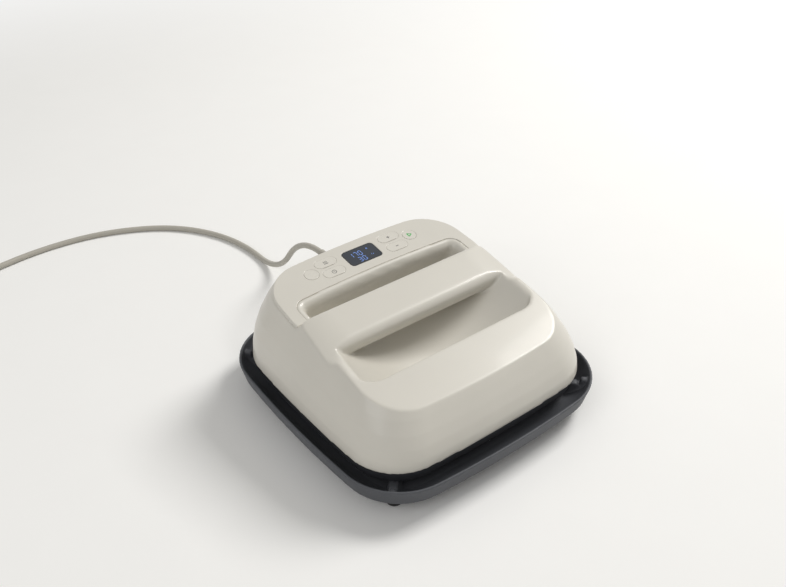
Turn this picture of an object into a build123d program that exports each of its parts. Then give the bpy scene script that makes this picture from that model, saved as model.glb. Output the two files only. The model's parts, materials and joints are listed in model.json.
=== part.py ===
from build123d import *
import math
import os

os.makedirs("parts", exist_ok=True)

# Handheld heat press seated on its perforated safety base. Millimetres, +Z up, -Y is the front.
# The origin is the middle of the base on the table.

# Base: a dished tray on four rubber feet
TRAY_WIDTH = 280.0
TRAY_DEPTH = 278.0
TRAY_CORNER = 60.0
TRAY_BOW = 4.2
TRAY_RIM_Z = 34.0
TRAY_RIM = 2.6
RIM_ROUND = 0.8
TRAY_UNDERCUT = 14.5
DISH_SWEEP = 16.0
DISH_BANDS = 3
UNDER_BANDS = 2
DISH_DEPTH = 20.2
LEDGE_WIDTH = 4.0
LEDGE_THICKNESS = 2.0
FLOOR_THICKNESS = 2.4
FLOOR_FIT = 0.1
FOOT_DIAMETER = 14.0
FOOT_REACH = 146.0
FOOT_ROUND = 1.0
PAD_SIDES = 8
ROUND_SIDES = 12
FOOT_PAD_RADIUS = 9.0
FOOT_STEM_DIAMETER = 7.0
FOOT_STEM_FIT = 0.1

# Floor perforation: rings of holes, each turned half a step from the last
HOLE_RINGS = 11
HOLES_PER_RING = 24
FIRST_RING_RADIUS = 26.5
RING_STEP_LEAST = 6.3
RING_STEP_SWELL = 4.2
RING_SWELL_SHIFT = 0.3
RING_SWELL_TRIM = 1.4
HOLE_LEAST = 2.4
HOLE_SWELL = 3.6
HOLE_SIDES = 6
HOLE_FIELD = 110.0
FINE_HOLE = 2.5
SUPPORT_CLEARANCE = 9.0

# Corner supports that carry the heat plate and keep the press central
SUPPORT_NOSE = 118.0
SUPPORT_SEAT_START = 127.0
SUPPORT_SEAT_END = 155.0
SUPPORT_TAB_START = 158.0
SUPPORT_TAB_END = 163.0
SUPPORT_TAB_FLARE = 0.5
SUPPORT_HEEL_REACH = 162.5
SUPPORT_HEEL_RISE = 4.0
SUPPORT_HEEL_CUT = 5.0
SUPPORT_NOTCH = 2.5
SUPPORT_WIDTH = 12.0
SUPPORT_TOP_WIDTH = 5.5
SUPPORT_HEIGHT = 11.2
SUPPORT_TAB_RISE = 4.5

# Press: a domed housing with two tilted top planes and a grip bridging a hand pocket
BODY_WIDTH = 256.0
BODY_DEPTH = 246.0
BODY_CORNER = 50.0
BODY_BOW = 3.6
TOP_CORNER = 42.0
LEAN_STEADY = 0.12
LEAN_CURVED = 0.88
TOP_RISE = 63.0
TOP_SLOPE = 0.14
SIDE_LEAN = 20.5
FRONT_LEAN = 23.3
REAR_LEAN = 20.7
HOUSING_WALL = 2.6
CAVITY_START = -0.02
CAVITY_BOW_SAG = 2.0
CORNER_CHORDS = 4
BOSS_SIDES = 6
BODY_BANDS = 6
BODY_TOP_STEP = 1.25
CAVITY_BANDS = 3

# Grip and hand pocket
FRONT_RISE = 69.0
FRONT_SLOPE = 0.23
GRIP_BACK = 28.0
GRIP_FRONT = -15.2
GRIP_FLAT_START = 6.0
GRIP_ROLL = 9.0
GRIP_THICKNESS = 21.0
GRIP_BACK_ROLL = 7.0
GRIP_TOP_ROLL = 4.0
GRIP_COVER_LENGTH = 136.0
GRIP_COVER_WIDTH = 22.0
GRIP_COVER_Y = 11.5
GRIP_COVER_FIT = 0.15
POCKET_FRONT = -60.0
POCKET_HALF_LENGTH = 102.2
POCKET_DEPTH = 44.0
POCKET_CORNER = 25.0
POCKET_SIDE_MARGIN = 0.8
TUNNEL_LAP = 12.0
REAR_BOWL_RADIUS = 194.0
WELL_STEP = 1.0
SADDLE_START = 76.0
SADDLE_RADIUS = 90.0
SADDLE_REACH = 40.0
SADDLE_FRONT = -27.0
SADDLE_BLEND = 7.0
SADDLE_AIR = 25.0

# Control panel, its lip and the rear finger well
PANEL_THICKNESS = 2.4
PANEL_GAP = 0.15
PANEL_FRONT = 30.0
SEAM_Y = 59.6
SEAM_RADIUS = 1300.0
LIP_ROLL = 8.0
WELL_AIR = 25.0
WELL_BLOCK_WIDTH = 240.0
WELL_BLOCK_DEPTH = 80.0
WELL_BLOCK_HEIGHT = 60.0
WELL_BLOCK_SKIN = 1.0
WELL_HALF_LENGTH = 95.0
WELL_CORNER = 12.0
LEDGE_HEIGHT = 2.5
LEDGE_CUT_PAST = 2.0
WINDOW_CENTRE_Y = 81.0
PANEL_WINDOW_WIDTH = 168.0
PANEL_WINDOW_DEPTH = 30.0
PANEL_WINDOW_CORNER = 14.0

# Display and buttons, placed on the panel plane
DISPLAY_Y = 80.6
DISPLAY_WIDTH = 36.6
DISPLAY_DEPTH = 22.0
DISPLAY_CORNER = 4.5
WINDOW_THICKNESS = 1.4
WINDOW_FIT = 0.1
WINDOW_LEDGE = 2.0
BUTTON_FIT = 0.3
BUTTON_PROUD = 0.3
BUTTON_TRAVEL = 0.8
BUTTON_FLANGE = 1.0
BUTTON_FLANGE_REACH = 1.0
BUTTON_STEM = 3.2
FLANGE_CLEARANCE = 0.1
ROUND_BUTTON_DIAMETER = 13.8
BUTTON_SIDES = 20
PILL_END_CHORDS = 6
PILL_LENGTH = 23.0
PILL_HEIGHT = 11.0
ROUND_BUTTON_X = 57.8
ROUND_BUTTON_Y = 80.6
PILL_X = 37.2
PILL_REAR_Y = 88.2
PILL_FRONT_Y = 73.2

# Control board under the panel
BOARD_THICKNESS = 1.6
CONTROL_BOARD_WIDTH = 148.0
CONTROL_BOARD_DEPTH = 29.0
CONTROL_BOARD_DROP = 11.0
PANEL_POST_DIAMETER = 6.0
PANEL_POST_INSET = 4.5
SWITCH_SIDE = 6.4
SWITCH_HEIGHT = 3.6
MODULE_WIDTH = 34.0
MODULE_DEPTH = 20.0
MODULE_CLEARANCE = 0.2
CHIP_PLACES = ((-20.0, 10.0, 10.0), (14.0, 7.0, 5.0), (36.0, 16.0, 5.0))
CHIP_HEIGHT = 1.6
BUZZER_X = 58.0
BUZZER_DIAMETER = 12.0
BUZZER_HEIGHT = 5.5

# Skirt, heat plate and the layers above it
PLATE_SIDE = 228.6
PLATE_CORNER = 30.0
PLATE_THICKNESS = 6.0
PLATE_EDGE_ROUND = 1.0
PLATE_RUNNING_GAP = 1.5
SKIRT_HEIGHT = 12.0
SKIRT_SET_BACK = 1.4
SKIRT_TAPER = 2.8
SKIRT_ABOVE_PLATE_FACE = 2.0
SKIRT_TONGUE_HEIGHT = 6.0
SKIRT_TONGUE_WALL = 2.0
SKIRT_TONGUE_FIT = 1.4
ELEMENT_DIAMETER = 5.0
ELEMENT_PASSES = 6
ELEMENT_SPAN = 150.0
ELEMENT_LENGTH = 130.0
ELEMENT_SIDES = 12
INSULATION_THICKNESS = 4.4
INSULATION_SIDE = 200.0
INSULATION_CORNER = 20.0
SHIELD_THICKNESS = 1.0
SHIELD_LAP = 6.0
STANDOFF_DIAMETER = 12.0
STANDOFF_FIT = 0.5
STANDOFF_RISE = 80.0
STANDOFF_SPREAD_X = 88.0
STANDOFF_SPREAD_Y = 88.0
SENSOR_X = 16.0
THERMISTOR_FOOT = (14.0, 8.0, 2.5)
THERMISTOR_BEAD = (9.0, 5.0, 2.0)
CUTOUT_FLANGE = 14.0
CUTOUT_CAP = 9.0
CUTOUT_STEP = 3.0
SENSOR_WINDOW = 50.0
WIRE_HOLE_X = 60.0
WIRE_HOLE_Y = 62.0
WIRE_HOLE_LENGTH = 30.0
WIRE_HOLE_WIDTH = 12.0

# Rear bay: inner frame, power board and its large parts
FRAME_WIDTH = 150.0
FRAME_DEPTH = 42.0
FRAME_PLATE = 2.5
FRAME_CENTRE_Y = 82.0
FRAME_CLEAR = 7.0
FRAME_POST = 4.0
FRAME_RIB = 30.0
FRAME_RAIL = 10.0
FRAME_POST_INSET = 5.0
POST_DIAMETER = 7.0
POWER_BOARD_WIDTH = 140.0
POWER_BOARD_DEPTH = 36.0
POWER_POST_INSET_X = 6.0
POWER_POST_INSET_Y = 3.0
FUSE_PLACE = (-8.0, -8.0, 24.0, 9.0)
TERMINAL_PLACE = (-62.0, 0.0, 10.0, 22.0)
TERMINAL_HEIGHT = 11.0
RELAY_SIZE = (22.0, 16.0, 16.0)
TRANSFORMER_SIZE = (28.0, 24.0, 22.0)
WINDING_INSET = 5.0
WINDING_OVERHANG = 3.0
WINDING_REVEAL = 4.0
CAPACITOR_DIAMETER = 13.0
CAPACITOR_HEIGHT = 18.0
TRANSFORMER_X = -38.0
RELAY_X = 22.0
CAPACITOR_X = 50.0

# Power cord with its strain relief, coil, tie and plug
CORD_DIAMETER = 6.4
CORD_EXIT_RISE = 39.0
RELIEF_INNER_FACE = 104.5
RELIEF_TAPER_START = 121.0
RELIEF_TIP_Y = 153.0
CLAMP_Y = 102.0
CLAMP_WIDTH = 22.0
CLAMP_DEPTH = 4.0
CLAMP_FIT = 0.1
CLAMP_LEAD = 6.0
CLAMP_ABOVE_CORD = 8.0
RELIEF_ROOT = 12.5
RELIEF_TIP = 8.4
RELIEF_FLANGE = 16.0
RELIEF_FLANGE_THICKNESS = 3.0
RELIEF_SIDES = 8
RELIEF_HOLE_FIT = 0.1
RELIEF_HOLE_REACH = 40.0
CORD_DROP_START = 193.0
CORD_LANDING = 245.0
CORD_TABLE_ROUTE = ((0.0, 335.0), (-42.0, 409.0), (-116.0, 451.0), (-195.0, 462.0))
CORD_LIFT_X = -274.0
RUN_SHARE = 0.45
COIL_X = -352.0
COIL_START_Y = 449.0
COIL_CLIMB_RADIUS = 21.2
COIL_TURNS_IN = 5
COIL_TURNS_OUT = 6
COIL_TAIL = 14.0
GAP_STEP = 2.0
COIL_TURN_GAP = 0.55
LEAD_SIDES = 6
COIL_SIDES = 6
TIE_WIDTH = 8.0
TIE_THICKNESS = 1.2
TIE_FIT = 0.15
TIE_NEAR = 58.2
TIE_FAR = 89.6
TIE_HEIGHT = 16.2
PLUG_NECK = 22.0
PLUG_NECK_TIP = 8.0
PLUG_NECK_ROOT = 11.0
PLUG_LENGTH = 38.0
PLUG_WIDTH = 26.0
PLUG_CORNER = 4.0
PLUG_CHAMFER = 1.2
PIN_SPREAD = 12.7
PIN_THICKNESS = 1.5
PIN_WIDTH = 6.3
PIN_LENGTH = 17.0
EARTH_PIN = 4.8
PIN_DROP = 2.0
EARTH_PIN_RISE = 6.0

# Reaches of the cutting forms past what they cut
AIR_TOP = 200.0
CUT_REACH = 150.0
OUTSIDE = 170.0
POCKET_CLIP = 90.0
BOWL_SIDE_RISE = 30.0
FRONT_CLIP_RISE = 40.0
FRONT_CLIP_HEIGHT = 140.0
POCKET_SIDE_PAST = 5.0
PANEL_REACH = 100.0

# Heights derived from the stack of parts
floor_top = TRAY_RIM_Z - DISH_DEPTH
seat_z = floor_top + SUPPORT_HEIGHT
skirt_bottom = seat_z + SKIRT_ABOVE_PLATE_FACE
body_z = skirt_bottom + SKIRT_HEIGHT
plate_top = seat_z + PLATE_THICKNESS
insulation_z = plate_top + ELEMENT_DIAMETER
shield_z = insulation_z + INSULATION_THICKNESS
cord_exit_z = body_z + CORD_EXIT_RISE

front_angle = math.degrees(math.atan(FRONT_SLOPE))
panel_angle = math.degrees(math.atan(TOP_SLOPE))


def tilted_plane(rise, degrees):
    """A plane through the press's middle, raised toward the rear by the angle."""
    angle = math.radians(degrees)
    return Plane(
        origin=(0, 0, body_z + rise),
        x_dir=(1, 0, 0),
        z_dir=(0, -math.sin(angle), math.cos(angle)),
    )


front_plane = tilted_plane(FRONT_RISE, front_angle)
panel_plane = tilted_plane(TOP_RISE, panel_angle)
front_cos = math.cos(math.radians(front_angle))
panel_cos = math.cos(math.radians(panel_angle))


def front_z(y):
    return body_z + FRONT_RISE + FRONT_SLOPE * y


def panel_z(y):
    return body_z + TOP_RISE + TOP_SLOPE * y


def bowed_outline(half_x, half_y, corner, bow, centre_y=0.0):
    """A rounded square whose four sides bow out, as one closed chain of tangent arcs."""
    s = math.sin(math.radians(bow))
    k = 1 - math.cos(math.radians(bow))
    span = s * s - k * k
    side = ((half_y - corner) * s - (half_x - corner) * k) / span
    end = ((half_x - corner) * s - (half_y - corner) * k) / span
    cx = end * s
    cy = side * s
    near = (cx + corner * s, cy + corner * (1 - k))
    wide = (cx + corner * (1 - k), cy + corner * s)
    mid = (cx + corner * math.sqrt(0.5), cy + corner * math.sqrt(0.5))

    def at(point, sx, sy):
        return (sx * point[0], centre_y + sy * point[1])

    ThreePointArc(at(near, -1, 1), (0, centre_y + half_y), at(near, 1, 1))
    ThreePointArc(at(near, 1, 1), at(mid, 1, 1), at(wide, 1, 1))
    ThreePointArc(at(wide, 1, 1), (half_x, centre_y), at(wide, 1, -1))
    ThreePointArc(at(wide, 1, -1), at(mid, 1, -1), at(near, 1, -1))
    ThreePointArc(at(near, 1, -1), (0, centre_y - half_y), at(near, -1, -1))
    ThreePointArc(at(near, -1, -1), at(mid, -1, -1), at(wide, -1, -1))
    ThreePointArc(at(wide, -1, -1), (-half_x, centre_y), at(wide, -1, 1))
    ThreePointArc(at(wide, -1, 1), at(mid, -1, 1), at(near, -1, 1))


def bowed_section(plane, half_x, half_y, corner, bow, centre_y=0.0):
    """One section of a loft, on its own plane."""
    with BuildSketch(plane) as section:
        with BuildLine():
            bowed_outline(half_x, half_y, corner, bow, centre_y)
        make_face()
    return section.sketch


def shell_size(step):
    """Half width, half depth, middle and corner radius of the press body at a step up its wall."""
    lean = LEAN_STEADY * step + LEAN_CURVED * step * step
    front = BODY_DEPTH / 2 - FRONT_LEAN * lean
    rear = BODY_DEPTH / 2 - REAR_LEAN * lean
    stretch = 1 / math.cos(math.radians(panel_angle * step))
    half_x = BODY_WIDTH / 2 - SIDE_LEAN * lean
    half_y = (front + rear) / 2 * stretch
    centre = (rear - front) / 2 * stretch
    corner = BODY_CORNER + (TOP_CORNER - BODY_CORNER) * step
    return half_x, half_y, centre, corner


def shell_sections():
    """Sections up the press body to above its top planes."""
    sections = []
    for band in range(BODY_BANDS + 1):
        step = BODY_TOP_STEP * band / BODY_BANDS
        half_x, half_y, centre, corner = shell_size(step)
        plane = tilted_plane(TOP_RISE * step, panel_angle * step)
        sections.append(bowed_section(plane, half_x, half_y, corner, BODY_BOW, centre))
    return sections


def across(y):
    """The plane across the front plane's slope, with X to the right and the surface's normal up."""
    return Plane(
        origin=front_plane.origin + front_plane.y_dir * (y / front_cos),
        x_dir=(1, 0, 0),
        z_dir=-front_plane.y_dir,
    )


def slope_point(u, v):
    """A point of the YZ plane, u along the front plane's slope and v square to it."""
    angle = math.radians(front_angle)
    return (
        u * math.cos(angle) - v * math.sin(angle),
        body_z + FRONT_RISE + u * math.sin(angle) + v * math.cos(angle),
    )


front_sin = math.sin(math.radians(front_angle))
ramp_angle = 2 * math.atan(POCKET_DEPTH / POCKET_HALF_LENGTH)
pocket_radius = POCKET_HALF_LENGTH / math.sin(ramp_angle) - GRIP_ROLL
meeting_z = slope_point((GRIP_BACK - POCKET_DEPTH * front_sin) / front_cos, -POCKET_DEPTH)[1]
rear_depth = (panel_z(GRIP_BACK) - meeting_z) * panel_cos + WELL_STEP


def grip_section(grow):
    """The grip's outline across its length, thinner by grow all round."""
    flat = slope_point(GRIP_FLAT_START, 0)
    tip = slope_point(GRIP_FRONT / front_cos, 0)
    chin = slope_point(GRIP_FRONT / front_cos, -GRIP_THICKNESS)
    heel = slope_point((GRIP_BACK - GRIP_THICKNESS * front_sin) / front_cos, -GRIP_THICKNESS)
    rolls = ((tip, GRIP_ROLL), (chin, GRIP_ROLL), (heel, GRIP_BACK_ROLL))
    with BuildSketch() as section:
        with BuildLine():
            Polyline(tip, flat, (flat[0], AIR_TOP), (GRIP_BACK, AIR_TOP), heel, chin, close=True)
        make_face()
        for corner, radius in rolls:
            fillet(section.vertices().sort_by_distance((corner[0], corner[1], 0))[0], radius)
        if grow:
            offset(amount=-grow)
    return section.sketch


def pocket_bowl(grow):
    """The scooped bottom: one wide arc across the press whose ends roll over onto the top."""
    radius = pocket_radius + grow
    roll = GRIP_ROLL - grow
    centre_z = pocket_radius - POCKET_DEPTH
    foot_x = radius * math.sin(ramp_angle)
    foot_z = centre_z - radius * math.cos(ramp_angle)
    mid_x = POCKET_HALF_LENGTH - roll * math.sin(ramp_angle / 2)
    mid_z = roll * math.cos(ramp_angle / 2) - GRIP_ROLL
    end = POCKET_HALF_LENGTH
    with BuildPart() as bowl:
        with BuildSketch(across(0)):
            with BuildLine():
                ThreePointArc((-foot_x, foot_z), (0, centre_z - radius), (foot_x, foot_z))
                ThreePointArc((foot_x, foot_z), (mid_x, mid_z), (end, -grow))
                Polyline((end, -grow), (end, BOWL_SIDE_RISE), (-end, BOWL_SIDE_RISE), (-end, -grow))
                ThreePointArc((-end, -grow), (-mid_x, mid_z), (-foot_x, foot_z))
            make_face()
        extrude(amount=CUT_REACH, both=True)
    return bowl.part


def front_space(grow):
    """The hand's space in front of the grip and below it."""
    rim = POCKET_FRONT / front_cos - grow
    reach = GRIP_BACK + TUNNEL_LAP
    side = POCKET_HALF_LENGTH + POCKET_SIDE_MARGIN + grow
    with BuildPart() as space:
        with BuildSketch(Plane.YZ):
            with BuildLine():
                Polyline(
                    (-POCKET_CLIP, 0),
                    (reach, 0),
                    (reach, AIR_TOP),
                    (-POCKET_CLIP, AIR_TOP),
                    close=True,
                )
            make_face()
            add(grip_section(grow), mode=Mode.SUBTRACT)
        extrude(amount=side + POCKET_SIDE_PAST, both=True)
        with BuildSketch(front_plane.offset(FRONT_CLIP_RISE)):
            with Locations((0, (rim + POCKET_CLIP) / 2)):
                RectangleRounded(2 * side, POCKET_CLIP - rim, POCKET_CORNER)
        extrude(amount=-FRONT_CLIP_HEIGHT, mode=Mode.INTERSECT)
        add(pocket_bowl(grow), mode=Mode.INTERSECT)
    return space.part


def well_outline(half_x, front, rear, corner, seam_radius):
    """A rounded rectangle whose rear side bows back, for the well behind the grip."""
    sweep = math.asin((half_x - corner) / (seam_radius - corner))
    arc_x = seam_radius * math.sin(sweep)
    arc_y = rear - seam_radius * (1 - math.cos(sweep))
    centre_x = half_x - corner
    centre_y = arc_y - corner * math.cos(sweep)
    turn = (math.pi / 2 - sweep) / 2
    mid = (centre_x + corner * math.cos(turn), centre_y + corner * math.sin(turn))
    with BuildSketch() as section:
        with BuildLine():
            Polyline((-half_x, centre_y), (-half_x, front), (half_x, front), (half_x, centre_y))
            ThreePointArc((half_x, centre_y), mid, (arc_x, arc_y))
            ThreePointArc((arc_x, arc_y), (0, rear), (-arc_x, arc_y))
            ThreePointArc((-arc_x, arc_y), (-mid[0], mid[1]), (-half_x, centre_y))
        make_face()
    return section.sketch


def rear_space(grow):
    """The fingers' space between the grip and the panel, whose lip is rolled at the rear and ends."""
    roll = LIP_ROLL - grow
    wall_x = WELL_HALF_LENGTH - roll
    wall_rear = SEAM_Y / panel_cos - roll
    start = GRIP_BACK - TUNNEL_LAP
    mouth = panel_plane.offset(-grow)
    inner = well_outline(wall_x, start, wall_rear, WELL_CORNER - roll, SEAM_RADIUS)
    outer = well_outline(WELL_HALF_LENGTH, start, SEAM_Y / panel_cos, WELL_CORNER, SEAM_RADIUS + roll)
    with BuildPart() as slab:
        with BuildSketch(mouth):
            with Locations((0, WELL_BLOCK_DEPTH / 2)):
                Rectangle(WELL_BLOCK_WIDTH, WELL_BLOCK_DEPTH)
        extrude(amount=-WELL_BLOCK_HEIGHT)
        with BuildSketch(mouth):
            add(inner)
        extrude(amount=-WELL_BLOCK_HEIGHT, mode=Mode.SUBTRACT)
        lip = slab.faces().filter_by(Axis(mouth.origin, mouth.z_dir)).sort_by(Axis.Z)[-1]
        rim = lip.inner_wires()[0].edges()
        front_edge = rim.sort_by(Axis.Y)[0]
        fillet([edge for edge in rim if edge != front_edge], radius=roll)
    with BuildPart() as space:
        with BuildSketch(mouth):
            with Locations((0, WELL_BLOCK_DEPTH / 2)):
                Rectangle(
                    WELL_BLOCK_WIDTH - 2 * WELL_BLOCK_SKIN, WELL_BLOCK_DEPTH - 2 * WELL_BLOCK_SKIN
                )
        extrude(amount=WELL_BLOCK_SKIN - WELL_BLOCK_HEIGHT)
        add(slab.part, mode=Mode.SUBTRACT)
        with BuildSketch(mouth):
            add(outer)
        extrude(amount=WELL_AIR)
        with BuildSketch(Plane.XZ.offset(grow - GRIP_BACK)):
            with Locations((0, AIR_TOP / 2)):
                Rectangle(2 * CUT_REACH, AIR_TOP)
        extrude(amount=-WELL_BLOCK_DEPTH, mode=Mode.INTERSECT)
        with BuildSketch(Plane(origin=panel_plane.origin, x_dir=(1, 0, 0), z_dir=-panel_plane.y_dir)):
            with Locations((0, REAR_BOWL_RADIUS - rear_depth)):
                Circle(REAR_BOWL_RADIUS + grow)
        extrude(amount=CUT_REACH, both=True, mode=Mode.INTERSECT)
    return space.part


def above_top(drop, panel_drop):
    """Everything above the two top planes, lowered by the given drops."""
    front_drop = drop / front_cos
    rear_drop = panel_drop / panel_cos
    back = GRIP_BACK - drop
    with BuildPart() as air:
        with BuildSketch(Plane.YZ) as profile:
            with BuildLine():
                Polyline(
                    (-OUTSIDE, front_z(-OUTSIDE) - front_drop),
                    (back, front_z(back) - front_drop),
                    (back, panel_z(back) - rear_drop),
                    (OUTSIDE, panel_z(OUTSIDE) - rear_drop),
                    (OUTSIDE, AIR_TOP),
                    (-OUTSIDE, AIR_TOP),
                    close=True,
                )
            make_face()
            corner = profile.vertices().sort_by_distance((back, front_z(back) - front_drop, 0))
            fillet(corner[0], radius=GRIP_TOP_ROLL)
        extrude(amount=CUT_REACH, both=True)
    return air.part


def saddle(side, drop=0.0):
    """The air over one end of the grip, where the grip's top curves down into the side wall."""
    fall = SADDLE_RADIUS - math.sqrt(SADDLE_RADIUS**2 - SADDLE_REACH**2)
    half_fall = SADDLE_RADIUS - math.sqrt(SADDLE_RADIUS**2 - (SADDLE_REACH / 2) ** 2)
    near = side * SADDLE_START
    far = side * (SADDLE_START + SADDLE_REACH)
    with BuildPart() as air:
        with BuildSketch(across(SADDLE_FRONT - drop)):
            with BuildLine():
                ThreePointArc(
                    (near, -drop), ((near + far) / 2, -half_fall - drop), (far, -fall - drop)
                )
                Polyline(
                    (far, -fall - drop), (far, SADDLE_AIR), (near, SADDLE_AIR), (near, -drop)
                )
            make_face()
        extrude(amount=SADDLE_FRONT - GRIP_BACK - 2 * drop)
        front_face = air.faces().sort_by(Axis(front_plane.origin, front_plane.y_dir))[0]
        fillet(front_face.edges().sort_by(Axis.Z)[0], radius=SADDLE_BLEND)
    return air.part


def panel_zone(gap):
    """The plate space of the control panel: the rear top and two ears beside the lip."""
    front = PANEL_FRONT / panel_cos - gap
    with BuildPart() as zone:
        with BuildSketch(panel_plane):
            with Locations((0, PANEL_REACH)):
                Rectangle(2 * CUT_REACH, 2 * (PANEL_REACH - front - 2 * gap))
            add(
                well_outline(
                    WELL_HALF_LENGTH + gap,
                    0,
                    SEAM_Y / panel_cos + gap,
                    WELL_CORNER + gap,
                    SEAM_RADIUS + gap,
                ),
                mode=Mode.SUBTRACT,
            )
        extrude(amount=-PANEL_THICKNESS)
    return zone.part


def hand_space(grow):
    """All the space that the hand uses, wider by grow on every side."""
    with BuildPart() as space:
        add(front_space(grow))
        add(rear_space(grow))
    return space.part


def chord_outline(half_x, half_y, corner):
    """A rounded rectangle whose corners are chords, which stay inside the arcs they stand for."""
    points = []
    for sx, sy, start in ((1, 1, 0), (-1, 1, 90), (-1, -1, 180), (1, -1, 270)):
        for step in range(CORNER_CHORDS + 1):
            angle = math.radians(start + 90 * step / CORNER_CHORDS)
            points.append(
                (
                    sx * (half_x - corner) + corner * math.cos(angle),
                    sy * (half_y - corner) + corner * math.sin(angle),
                )
            )
    return points


def save(part, name):
    part.label = name
    export_step(part, f"parts/{name}.step")
    print(name, round(part.volume), len(part.solids()), part.is_valid)


# Press shell: the outside form before any opening is cut
with BuildPart() as shell:
    loft(sections=shell_sections(), ruled=True)
    add(above_top(0, 0), mode=Mode.SUBTRACT)
    add(saddle(1), mode=Mode.SUBTRACT)
    add(saddle(-1), mode=Mode.SUBTRACT)

# Cavity, open at the bottom and below the control panel, with four solid bosses left in it
cavity_sections = []
for band in range(CAVITY_BANDS + 1):
    step = CAVITY_START + (BODY_TOP_STEP - CAVITY_START) * band / CAVITY_BANDS
    half_x, half_y, centre, corner = shell_size(step)
    inset = HOUSING_WALL + CAVITY_BOW_SAG
    with BuildSketch(tilted_plane(TOP_RISE * step, panel_angle * step)) as cavity_section:
        with Locations((0, centre)):
            with BuildLine():
                outline = chord_outline(half_x - inset, half_y - inset, corner - inset)
                Polyline(*outline, close=True)
            make_face()
    cavity_sections.append(cavity_section.sketch)
with BuildPart() as cavity:
    loft(sections=cavity_sections, ruled=True)
    add(above_top(HOUSING_WALL, PANEL_THICKNESS + LEDGE_HEIGHT), mode=Mode.SUBTRACT)
    add(saddle(1, HOUSING_WALL), mode=Mode.SUBTRACT)
    add(saddle(-1, HOUSING_WALL), mode=Mode.SUBTRACT)
    add(hand_space(HOUSING_WALL), mode=Mode.SUBTRACT)
    with BuildSketch(Plane.XY.offset(shield_z + SHIELD_THICKNESS)):
        with GridLocations(2 * STANDOFF_SPREAD_X, 2 * STANDOFF_SPREAD_Y, 2, 2):
            RegularPolygon(STANDOFF_DIAMETER / 2, BOSS_SIDES)
    extrude(amount=STANDOFF_RISE, mode=Mode.SUBTRACT)

# Grip cover: a plate let into the grip's underside
grip_base = Plane(
    origin=front_plane.origin
    + front_plane.y_dir * GRIP_COVER_Y
    - front_plane.z_dir * GRIP_THICKNESS,
    x_dir=(1, 0, 0),
    z_dir=front_plane.z_dir,
)
with BuildPart() as grip_cover:
    with BuildSketch(grip_base):
        SlotOverall(GRIP_COVER_LENGTH, GRIP_COVER_WIDTH)
    extrude(amount=HOUSING_WALL)
save(grip_cover.part, "grip_cover")

relief_plane = Plane(origin=(0, 0, cord_exit_z), x_dir=(1, 0, 0), z_dir=(0, 1, 0))

# Upper housing: the shell with the scooped hand pocket, the grip across it and the panel's seat
with BuildPart() as upper_housing:
    add(shell.part)
    add(hand_space(0), mode=Mode.SUBTRACT)
    add(panel_zone(0), mode=Mode.SUBTRACT)
    add(cavity.part, mode=Mode.SUBTRACT)
    with BuildSketch(panel_plane):
        with Locations((0, WINDOW_CENTRE_Y / panel_cos)):
            RectangleRounded(PANEL_WINDOW_WIDTH, PANEL_WINDOW_DEPTH, PANEL_WINDOW_CORNER)
    extrude(amount=-PANEL_THICKNESS - LEDGE_HEIGHT - LEDGE_CUT_PAST, mode=Mode.SUBTRACT)
    with BuildSketch(grip_base):
        SlotOverall(GRIP_COVER_LENGTH + 2 * GRIP_COVER_FIT, GRIP_COVER_WIDTH + 2 * GRIP_COVER_FIT)
    extrude(amount=HOUSING_WALL, mode=Mode.SUBTRACT)
    with BuildSketch(relief_plane.offset(RELIEF_INNER_FACE)):
        RegularPolygon(RELIEF_ROOT / 2 + RELIEF_HOLE_FIT, RELIEF_SIDES)
    extrude(amount=RELIEF_HOLE_REACH, mode=Mode.SUBTRACT)
save(upper_housing.part, "upper_housing")

# Control panel: a flush plate with its seam along the lip, on posts above the control board
board_plane = panel_plane.offset(-CONTROL_BOARD_DROP)
display_centre = (0, DISPLAY_Y / panel_cos)
buttons = {
    "power_button": (-ROUND_BUTTON_X, ROUND_BUTTON_Y, "round"),
    "temperature_button": (-PILL_X, PILL_REAR_Y, "pill"),
    "timer_button": (-PILL_X, PILL_FRONT_Y, "pill"),
    "plus_button": (PILL_X, PILL_REAR_Y, "pill"),
    "minus_button": (PILL_X, PILL_FRONT_Y, "pill"),
    "start_button": (ROUND_BUTTON_X, ROUND_BUTTON_Y, "round"),
}


def pill_points(half_length, radius):
    """A pill whose round ends are chords."""
    points = []
    for side, start in ((1, -90), (-1, 90)):
        for step in range(PILL_END_CHORDS + 1):
            angle = math.radians(start + 180 * step / PILL_END_CHORDS)
            x = side * (half_length - radius) + radius * math.cos(angle)
            points.append((x, radius * math.sin(angle)))
    return points


def button_outline(place, grow):
    """A button's outline on the current sketch, wider by grow all round."""
    x, y, form = place
    with Locations((x, y / panel_cos)):
        if form == "round":
            RegularPolygon(ROUND_BUTTON_DIAMETER / 2 + grow, BUTTON_SIDES)
        else:
            Polygon(*pill_points(PILL_LENGTH / 2 + grow, PILL_HEIGHT / 2 + grow), align=None)


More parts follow.
